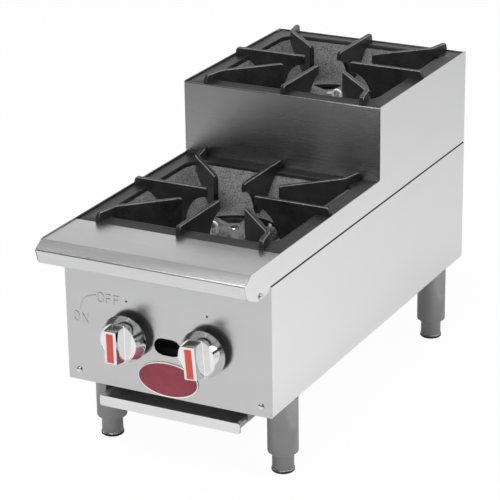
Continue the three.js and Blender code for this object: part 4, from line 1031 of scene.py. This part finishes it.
class RANGE_OT_burners(bpy.types.Operator):
    """Make the star burners, their ports and the pilot tubes"""

    bl_idname = "range.burners"
    bl_label = "Burners"

    def execute(self, context):
        scene = context.scene
        settings, look = scene.range_burners, finishes(scene)
        for end, y, top in burner_places():
            high = top - RIM_DROP - BURNER_DROP
            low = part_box("burner_head_" + end)[0][2]
            boss = lambda centres, normals, y=y, high=high: (
                np.hypot(centres[:, 0] - settings.offset, centres[:, 1] - y) < 6.6 * MM
            ) & (centres[:, 2] > high + 0.2 * MM)
            head = head_shape(settings, settings.offset, y, low, high)
            irons = [look["burner_iron"], look["screw_plate"]]
            piece("star_" + end, head, irons, "burner_head_" + end, smooth=30, pick=boss)
            # The ports are black plugs: painted shade for the dark inside of the drilled ports.
            ports = port_discs(settings, settings.offset, y, high)
            piece("ports_" + end, ports, look["port_black"], body="casing")
            side, reach = (-1, 9 * MM) if end == "front" else (1, 20 * MM)
            line = pilot_path(side, y, top, reach, PILOT_WAYS[end])
            tube = carried(line, settings.pilot / 2, 16, 0.6 * MM)
            piece("pilot_line_" + end, tube, look["bright_tube"], "pilot_tube_" + end, smooth=50)
            smoothed("mixer_" + end, look["burner_iron"], 40)
        return {"FINISHED"}


class RANGE_OT_gas_train(bpy.types.Operator):
    """Finish the valves and pipes"""

    bl_idname = "range.gas_train"
    bl_label = "Valves and pipes"

    def execute(self, context):
        look = finishes(context.scene)
        for node in ("manifold_pipe", "manifold_elbow", "manifold_plug", "supply_pipe"):
            smoothed(node, look["black_pipe"])
        for side in ("left", "right"):
            for kind in ("gas_valve", "valve_stem", "orifice_hood", "pilot_valve"):
                smoothed(kind + "_" + side, look["brass"], 38)
            # The pilot screws take the black: painted shade that makes the pilot holes look dark.
            smoothed("pilot_screw_" + side, look["black_pipe"], 38)
            smoothed("air_shutter_" + side, look["inner_steel"])
        return {"FINISHED"}


# Controls


def skirt_shape(settings, x, z):
    """The chrome skirt: a hollow cone about the stem, its flat face set a little below a narrow rim."""
    back = -settings.standoff
    face = back - settings.depth
    rim = settings.face
    level = face + 0.5 * MM
    front = np.array([(0, level), (rim - 1.5 * MM, level), (rim - 1.0 * MM, face), (rim - 0.3 * MM, face)])
    skirt = [(settings.skirt, back - 1.4 * MM), (settings.skirt, back)]
    cone = rounded([(rim - 0.3 * MM, face), (rim, face + 0.4 * MM), *skirt], 0.7 * MM, 4)
    inner = np.array(
        [
            (settings.skirt - 1.6 * MM, back),
            (rim - 2.2 * MM, face + 2.2 * MM),
            (8.5 * MM, face + 2.2 * MM),
            (8.5 * MM, back),
            (4.3 * MM, back),
            (4.3 * MM, back - 12 * MM),
            (0, back - 12 * MM),
        ]
    )
    return revolved(np.vstack([front[:-1], cone, inner]), (x, z), "y", 96)


# Half width, reach above and reach below of the grip, at the face and at its ridge, and how far the ridge
# leans back from its top to its bottom. Millimetres.
GRIP_BASE = (9.9, 25.0, 25.0)
GRIP_RIDGE = (9.0, 24.3, 22.3)
GRIP_SLANT = 1.0


def grip_shape(settings, x, z, turn):
    """The grip: rounded rectangles that narrow from the face to the ridge, flared at the foot and rounded
    at the ridge, closed at both ends."""
    face = -settings.standoff - settings.depth + 0.5 * MM
    level = np.array([-0.05, 0.0, 0.012, 0.035, 0.08, 0.5, 0.94, 0.975, 0.993, 1.0])
    grow = np.array([1.1, 1.1, 0.5, 0.15, 0, 0, 0, -0.2, -0.6, -1.2]) * MM
    part = np.clip(level, 0, 1)[:, None]
    half, upper, lower = (
        (base + (ridge - base) * part) * MM + grow[:, None] for base, ridge in zip(GRIP_BASE, GRIP_RIDGE)
    )
    corner = 1.1 * MM
    angle, cx, cz = corner_turn(32)
    px = cx * (half - corner) + corner * np.cos(angle)
    pz = cz * (np.where(cz > 0, upper, lower) - corner) + corner * np.sin(angle)
    slant = GRIP_SLANT * MM * (upper - pz) / (upper + lower)
    py = face - level[:, None] * (settings.grip + 0.5 * MM - slant)
    points = turned_about(x, z, turn, px, py, pz)
    rows, count = px.shape
    return points.reshape(-1, 3), grid_faces(rows, count) + end_faces(rows, count)


def ridge_plate(settings, x, z, turn, half, high, low, rise):
    """A thin plate with rounded corners that follows the slant of the grip's ridge."""
    face = -settings.standoff - settings.depth
    corner = 0.9 * MM
    angle, cx, cz = corner_turn(24)
    shrink = np.array([0, 0, 0.25 * MM])[:, None]
    px = cx * (half - corner) + (corner - shrink) * np.cos(angle)
    pz = cz * (np.where(cz > 0, high, low) - corner) + (corner - shrink) * np.sin(angle)
    slant = GRIP_SLANT * (GRIP_RIDGE[1] * MM - pz) / (GRIP_RIDGE[1] + GRIP_RIDGE[2])
    lift = np.array([-0.6 * MM, rise - 0.1 * MM, rise])[:, None]
    py = face - (settings.grip - slant) - lift
    points = turned_about(x, z, turn, px, py, pz)
    return points.reshape(-1, 3), grid_faces(3, 24) + end_faces(3, 24)


class RANGE_OT_knobs(bpy.types.Operator):
    """Make the chrome knobs with their stripes"""

    bl_idname = "range.knobs"
    bl_label = "Knobs"

    def execute(self, context):
        scene = context.scene
        settings, look = scene.range_knobs, finishes(scene)
        z = UNDERSIDE + settings.height
        for side, sign, turn in (("left", -1, 0.0), ("right", 1, math.radians(4))):
            x = sign * settings.spacing
            body = "knob_" + side + "_unit"
            skirt = skirt_shape(settings, x, z)
            inside = lambda centres, normals, x=x: (normals[:, 1] > 0.3) | (
                np.hypot(centres[:, 0] - x, centres[:, 2] - z) < settings.face - 2 * MM
            ) & (centres[:, 1] > -settings.standoff - settings.depth + MM)
            plates = [look["chrome"], look["knob_back"]]
            piece("skirt_" + side, skirt, plates, "knob_" + side, pick=inside)
            grip = grip_shape(settings, x, z, turn)
            piece("grip_" + side, grip, look["chrome"], body=body, smooth=25)
            border = ridge_plate(settings, x, z, turn, 6.7 * MM, 22.1 * MM, 21.6 * MM, 0.12 * MM)
            piece("stripe_border_" + side, border, look["stripe_white"], body=body)
            stripe = ridge_plate(settings, x, z, turn, 5.1 * MM, 20.5 * MM, 20.2 * MM, 0.3 * MM)
            piece("stripe_" + side, stripe, look["stripe_red"], "knob_inlay_" + side)
        return {"FINISHED"}


class RANGE_OT_badge(bpy.types.Operator):
    """Make the bare oval badge"""

    bl_idname = "range.badge"
    bl_label = "Badge"

    def execute(self, context):
        scene = context.scene
        settings, look = scene.range_badge, finishes(scene)
        z = UNDERSIDE + settings.level
        angle = np.linspace(0, 2 * np.pi, 96, endpoint=False)

        def oval(inset, depths):
            """Stacked ovals, each with its own inset, closed at the back and the front."""
            rings = []
            for i, d in depths:
                wide, high = settings.width / 2 - inset - i, settings.height / 2 - inset - i
                rings.append(np.stack([wide * np.cos(angle), 0 * angle - d, z + high * np.sin(angle)], -1))
            return np.vstack(rings), grid_faces(len(rings), 96) + end_faces(len(rings), 96)

        plate = oval(0, [(0, 0.3 * MM), (0, 0.95 * MM), (0.12 * MM, 1.15 * MM), (0.35 * MM, 1.2 * MM)])
        # The plate's edge takes the black: a painted shadow round the badge.
        side_on = lambda centres, normals: np.abs(normals[:, 1]) < 0.4
        paints = [look["badge_white"], look["port_black"]]
        piece("badge_plate", plate, paints, "badge", smooth=50, pick=side_on)
        field = oval(settings.rim, [(0, 1.1 * MM), (0, 1.28 * MM), (0.15 * MM, 1.3 * MM)])
        piece("badge_field", field, look["badge_red"], body="casing", smooth=50)
        return {"FINISHED"}


# Tray, legs and fasteners


class RANGE_OT_tray(bpy.types.Operator):
    """Make the drip tray"""

    bl_idname = "range.tray"
    bl_label = "Drip tray"

    def execute(self, context):
        scene = context.scene
        sheet, look = scene.range_casing.sheet, finishes(scene)
        flange, low = UNDERSIDE - 17 * MM - sheet, UNDERSIDE - 31.4 * MM
        wide, half, inside, deep = 105.5 * MM, 99 * MM, 97.8 * MM, 560 * MM
        right = [(wide, flange), (half, flange), (half, low)]
        path = right + [(-x, z) for x, z in right[::-1]]
        section = sheet_section(np.array(path), -sheet, 2.4 * MM)
        trough = extruded(section, sheet / 2, deep, "y")
        base = low + sheet / 2
        wall = [(-inside, base), (inside, base), (inside, flange), (-inside, flange)]
        back = extruded(wall, deep - sheet, deep, "y")
        (angle, cx, cz), r = corner_turn(40), 3 * MM
        across = cx * (105.7 * MM - r) + r * np.cos(angle)
        outline = np.stack([across, low + 7.5 * MM + cz * (7.5 * MM - r) + r * np.sin(angle)], 1)
        lip = extruded(outline, -1.4 * MM, sheet, "y")
        along = lambda centres, normals: (centres[:, 1] > 10 * MM) & (centres[:, 1] < 558 * MM)
        # The tray's outside takes the lightened copy of the steel: painted light.
        steels = [look["tray_steel"], look["pan_steel"]]
        piece("tray", joined(trough, back, lip), steels, "drip_tray", edge=0.3 * MM, pick=along)
        return {"FINISHED"}


class RANGE_OT_legs(bpy.types.Operator):
    """Make the legs and their feet"""

    bl_idname = "range.legs"
    bl_label = "Legs and feet"

    def execute(self, context):
        scene = context.scene
        s, look = scene.range_legs, finishes(scene)
        top = UNDERSIDE - 0.3 * MM
        for end in ("front", "rear"):
            for side in ("left", "right"):
                low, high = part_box(f"leg_{end}_{side}")
                centre = ((low[0] + high[0]) / 2, (low[1] + high[1]) / 2 - PANEL_FACE)
                bore, inside, stud = 16.3 * MM, s.show + 40 * MM, top + 12 * MM
                body = [(s.radius, top), (s.radius, s.show), (bore, s.show), (bore, inside)]
                body = rounded(body, s.shoulder, 8)
                tube = np.vstack([[(0, stud), (6 * MM, stud), (6 * MM, top)], body, [(0, inside)]])
                tube = revolved(tube, centre, "z", 72)
                piece(f"leg_tube_{end}_{side}", tube, look["leg_steel"], f"leg_{end}_{side}", smooth=30)
                foot = np.array(
                    [
                        (0, 0),
                        (s.foot - 1.2 * MM, 0),
                        (s.foot + 0.1 * MM, 1.2 * MM),
                        (s.foot + 0.2 * MM, 4 * MM),
                        (s.foot - 0.9 * MM, 5.2 * MM),
                        (s.foot - 0.9 * MM, s.show - 2 * MM),
                        (s.foot + 0.2 * MM, s.show),
                        (s.foot + 0.2 * MM, s.show + 32 * MM),
                        (0, s.show + 32 * MM),
                    ]
                )
                sole = lambda centres, normals: centres[:, 2] < 4.6 * MM
                foot, node = revolved(foot, centre, "z", 72), f"foot_{end}_{side}"
                plates = [look["leg_steel"], look["foot_rubber"]]
                piece(node + "_turned", foot, plates, node, smooth=30, pick=sole)
        return {"FINISHED"}


def screw_shape(seat, way, centre, axis):
    """A pan head over a shank, turned about its own line."""
    head = [(0, -9), (2, -9), (2, 0), (4.4, 0), (4.4, 0.7), (4.1, 1.4), (3.3, 2.1), (2.0, 2.5), (0, 2.6)]
    head = np.array(head) * MM
    return revolved(np.column_stack([head[:, 0], seat + way * head[:, 1]]), centre, axis, 32)


class RANGE_OT_fasteners(bpy.types.Operator):
    """Make the screws of the panel and the ledge"""

    bl_idname = "range.fasteners"
    bl_label = "Screws"

    def execute(self, context):
        look = finishes(context.scene)
        for side, sign in (("left", -1), ("right", 1)):
            panel = screw_shape(-0.3 * MM, -1, (sign * 136.5 * MM, UNDERSIDE + 14 * MM), "y")
            piece("panel_screw_head_" + side, panel, look["screw_plate"], "panel_screw_" + side)
            nose = screw_shape(sign * (HALF_WIDTH + 0.3 * MM), sign, (-28.5 * MM, SEAM - 3.5 * MM), "x")
            piece("nose_screw_head_" + side, nose, look["screw_plate"], "nose_screw_" + side)
        return {"FINISHED"}


# Stage


def ray_share(tree, camera, glossy, through):
    """A value that is the camera's share for rays from the camera, and so on for glossy rays and rays
    through glass, and nothing for the rest."""
    path = tree.nodes.new("ShaderNodeLightPath")
    total = 0.0
    for kind, part in (("Camera", camera), ("Glossy", glossy), ("Transmission", through)):
        parts = {0: path.outputs[f"Is {kind} Ray"], 1: part, 2: total}
        total = wired(tree, "ShaderNodeMath", parts, operation="MULTIPLY_ADD")
    return total


class RANGE_OT_stage(bpy.types.Operator):
    """Set the floor, the lamps, the surroundings and the camera"""

    bl_idname = "range.stage"
    bl_label = "Stage"

    def execute(self, context):
        scene = context.scene
        s = scene.range_studio
        self.floor(s)
        self.world(scene, s)
        self.lamp("key", s.key, 1.5, (2.1, 0.35, 1.9))
        self.lamp("top", s.top, 1.1, (-0.15, -1.0, 2.05))
        self.camera(scene, s)
        scene.view_settings.view_transform = "Standard"
        return {"FINISHED"}

    def floor(self, s):
        """A wide matt sheet that is almost white to the camera."""
        mesh = bpy.data.meshes.new("floor")
        mesh.from_pydata([(-6, -6, 0), (6, -6, 0), (6, 6, 0), (-6, 6, 0)], [], [(0, 1, 2, 3)])
        thing = linked("floor", mesh)
        material = bpy.data.materials.new("floor")
        material.use_nodes = True
        tree = material.node_tree
        shader = tree.nodes["Principled BSDF"]
        shader.inputs["Base Color"].default_value = (*s.floor, 1)
        shader.inputs["Roughness"].default_value = 0.9
        glow = wired(tree, "ShaderNodeEmission", {"Strength": 1.0})
        share = ray_share(tree, 0.97, 0.12, 0.9)
        mix = wired(tree, "ShaderNodeMixShader", {0: share, 1: shader.outputs[0], 2: glow})
        tree.links.new(mix, tree.nodes["Material Output"].inputs["Surface"])
        mesh.materials.append(material)

    def world(self, scene, s):
        """White to the camera. In gloss it is a studio: white low down at the back and sides, greyer
        overhead, dim in front of the range but for a soft box up at the right, and with two level dark
        strips on the right that the round chrome shows."""
        world = bpy.data.worlds.new("surroundings")
        scene.world = world
        world.use_nodes = True
        tree = world.node_tree
        plain = tree.nodes["Background"]
        plain.inputs["Color"].default_value = (1, 1, 1, 1)
        plain.inputs["Strength"].default_value = s.ambient
        spot = wired(tree, "ShaderNodeTexCoord", {}, "Generated")
        way = wired(tree, "ShaderNodeSeparateXYZ", {0: spot}).node

        def ramp(axis, start, stop, first, last):
            """A smooth step along one axis of the direction."""
            span = {"From Min": start, "From Max": stop, "To Min": first, "To Max": last}
            span["Value"] = way.outputs[axis]
            return wired(tree, "ShaderNodeMapRange", span, "Result", interpolation_type="SMOOTHSTEP")

        def reckon(operation, first, second):
            """One sum of two values, each a number or an output."""
            return wired(tree, "ShaderNodeMath", {0: first, 1: second}, operation=operation)

        box = reckon("MULTIPLY", ramp("X", 0.3, 0.36, 0.0, 1.0), ramp("X", 0.8, 0.86, 1.0, 0.0))
        box = reckon("MULTIPLY", box, ramp("Z", 0.2, 0.26, 0.0, 1.0))
        dimmer = reckon("MULTIPLY", ramp("Y", -0.12, -0.42, 0.0, 1.0), reckon("SUBTRACT", 1.0, box))
        front = reckon("SUBTRACT", 1.0, reckon("MULTIPLY", dimmer, 1.0 - s.front))
        low = reckon("MULTIPLY", ramp("Z", 0.2, 0.23, 0.0, 1.0), ramp("Z", 0.42, 0.45, 1.0, 0.0))
        high = reckon("MULTIPLY", ramp("Z", 0.76, 0.79, 0.0, 1.0), ramp("Z", 0.86, 0.89, 1.0, 0.0))
        strips = reckon("MULTIPLY", reckon("ADD", low, high), ramp("X", 0.2, 0.24, 0.0, 0.88))
        front = reckon("MULTIPLY", front, reckon("SUBTRACT", 1.0, strips))
        strength = reckon("MULTIPLY", ramp("Z", 0.15, 0.95, 1.0, s.overhead), front)
        studio = wired(tree, "ShaderNodeBackground", {"Strength": strength})
        white = wired(tree, "ShaderNodeBackground", {})
        shares = {0: ray_share(tree, 0, 1, 1), 1: plain.outputs[0], 2: studio}
        gloss = wired(tree, "ShaderNodeMixShader", shares)
        seen = wired(tree, "ShaderNodeMixShader", {0: ray_share(tree, 1, 0, 0), 1: gloss, 2: white})
        tree.links.new(seen, tree.nodes["World Output"].inputs["Surface"])

    def lamp(self, name, power, side, where):
        """A square lamp at a place, turned to the range."""
        data = bpy.data.lights.new(name, "AREA")
        data.shape, data.size, data.energy = "SQUARE", side, power
        thing = linked(name, data)
        thing.location = where
        toward = Vector((0, 0, 0.2)) - Vector(where)
        thing.rotation_euler = toward.to_track_quat("-Z", "Y").to_euler()

    def camera(self, scene, s):
        """Stands back from the point looked at, and turns the frame about the line of sight."""
        data = bpy.data.cameras.new("camera")
        data.lens, data.sensor_width = s.lens, 36.0
        data.shift_x, data.shift_y = -0.041, 0.002
        data.clip_end = 50
        thing = linked("camera", data)
        level = math.cos(s.elevation)
        back = Vector((math.sin(s.azimuth) * level, -math.cos(s.azimuth) * level, math.sin(s.elevation)))
        target = Vector((-16.55 * MM, 331.1 * MM + PANEL_FACE, 196.83 * MM))
        right = (-back).cross(Vector((0, 0, 1))).normalized()
        up = right.cross(-back)
        c, r = math.cos(s.roll), math.sin(s.roll)
        across, over = right * c + up * r, -right * r + up * c
        stand = Matrix.Translation(target + back * s.distance)
        thing.matrix_world = stand @ Matrix((across, over, back)).transposed().to_4x4()
        scene.camera = thing


class RANGE_PT_pieces(bpy.types.Panel):
    """Lists the steps that build the range"""

    bl_label = "Step-Up Range"
    bl_idname = "RANGE_PT_pieces"
    bl_space_type = "VIEW_3D"
    bl_region_type = "UI"
    bl_category = "Range"

    def draw(self, context):
        for operator in OPERATORS:
            self.layout.operator(operator.bl_idname)


OPERATORS = (
    RANGE_OT_stage,
    RANGE_OT_casing,
    RANGE_OT_lettering,
    RANGE_OT_grates,
    RANGE_OT_burners,
    RANGE_OT_gas_train,
    RANGE_OT_knobs,
    RANGE_OT_badge,
    RANGE_OT_tray,
    RANGE_OT_legs,
    RANGE_OT_fasteners,
)
SETTINGS = {
    "range_casing": CasingSettings,
    "range_grates": GrateSettings,
    "range_burners": BurnerSettings,
    "range_knobs": KnobSettings,
    "range_badge": BadgeSettings,
    "range_legs": LegSettings,
    "range_studio": StudioSettings,
}


def register():
    """Adds the settings, the steps and the panel."""
    for group in SETTINGS.values():
        bpy.utils.register_class(group)
    for name, group in SETTINGS.items():
        setattr(bpy.types.Scene, name, PointerProperty(type=group))
    for operator in OPERATORS:
        bpy.utils.register_class(operator)
    bpy.utils.register_class(RANGE_PT_pieces)


def unregister():
    """Takes away what register adds."""
    bpy.utils.unregister_class(RANGE_PT_pieces)
    for operator in reversed(OPERATORS):
        bpy.utils.unregister_class(operator)
    for name in SETTINGS:
        delattr(bpy.types.Scene, name)
    for group in reversed(SETTINGS.values()):
        bpy.utils.unregister_class(group)


def main():
    """Runs every step."""
    register()
    for operator in OPERATORS:
        group, name = operator.bl_idname.split(".")
        getattr(getattr(bpy.ops, group), name)()


if __name__ == "__main__":
    main()
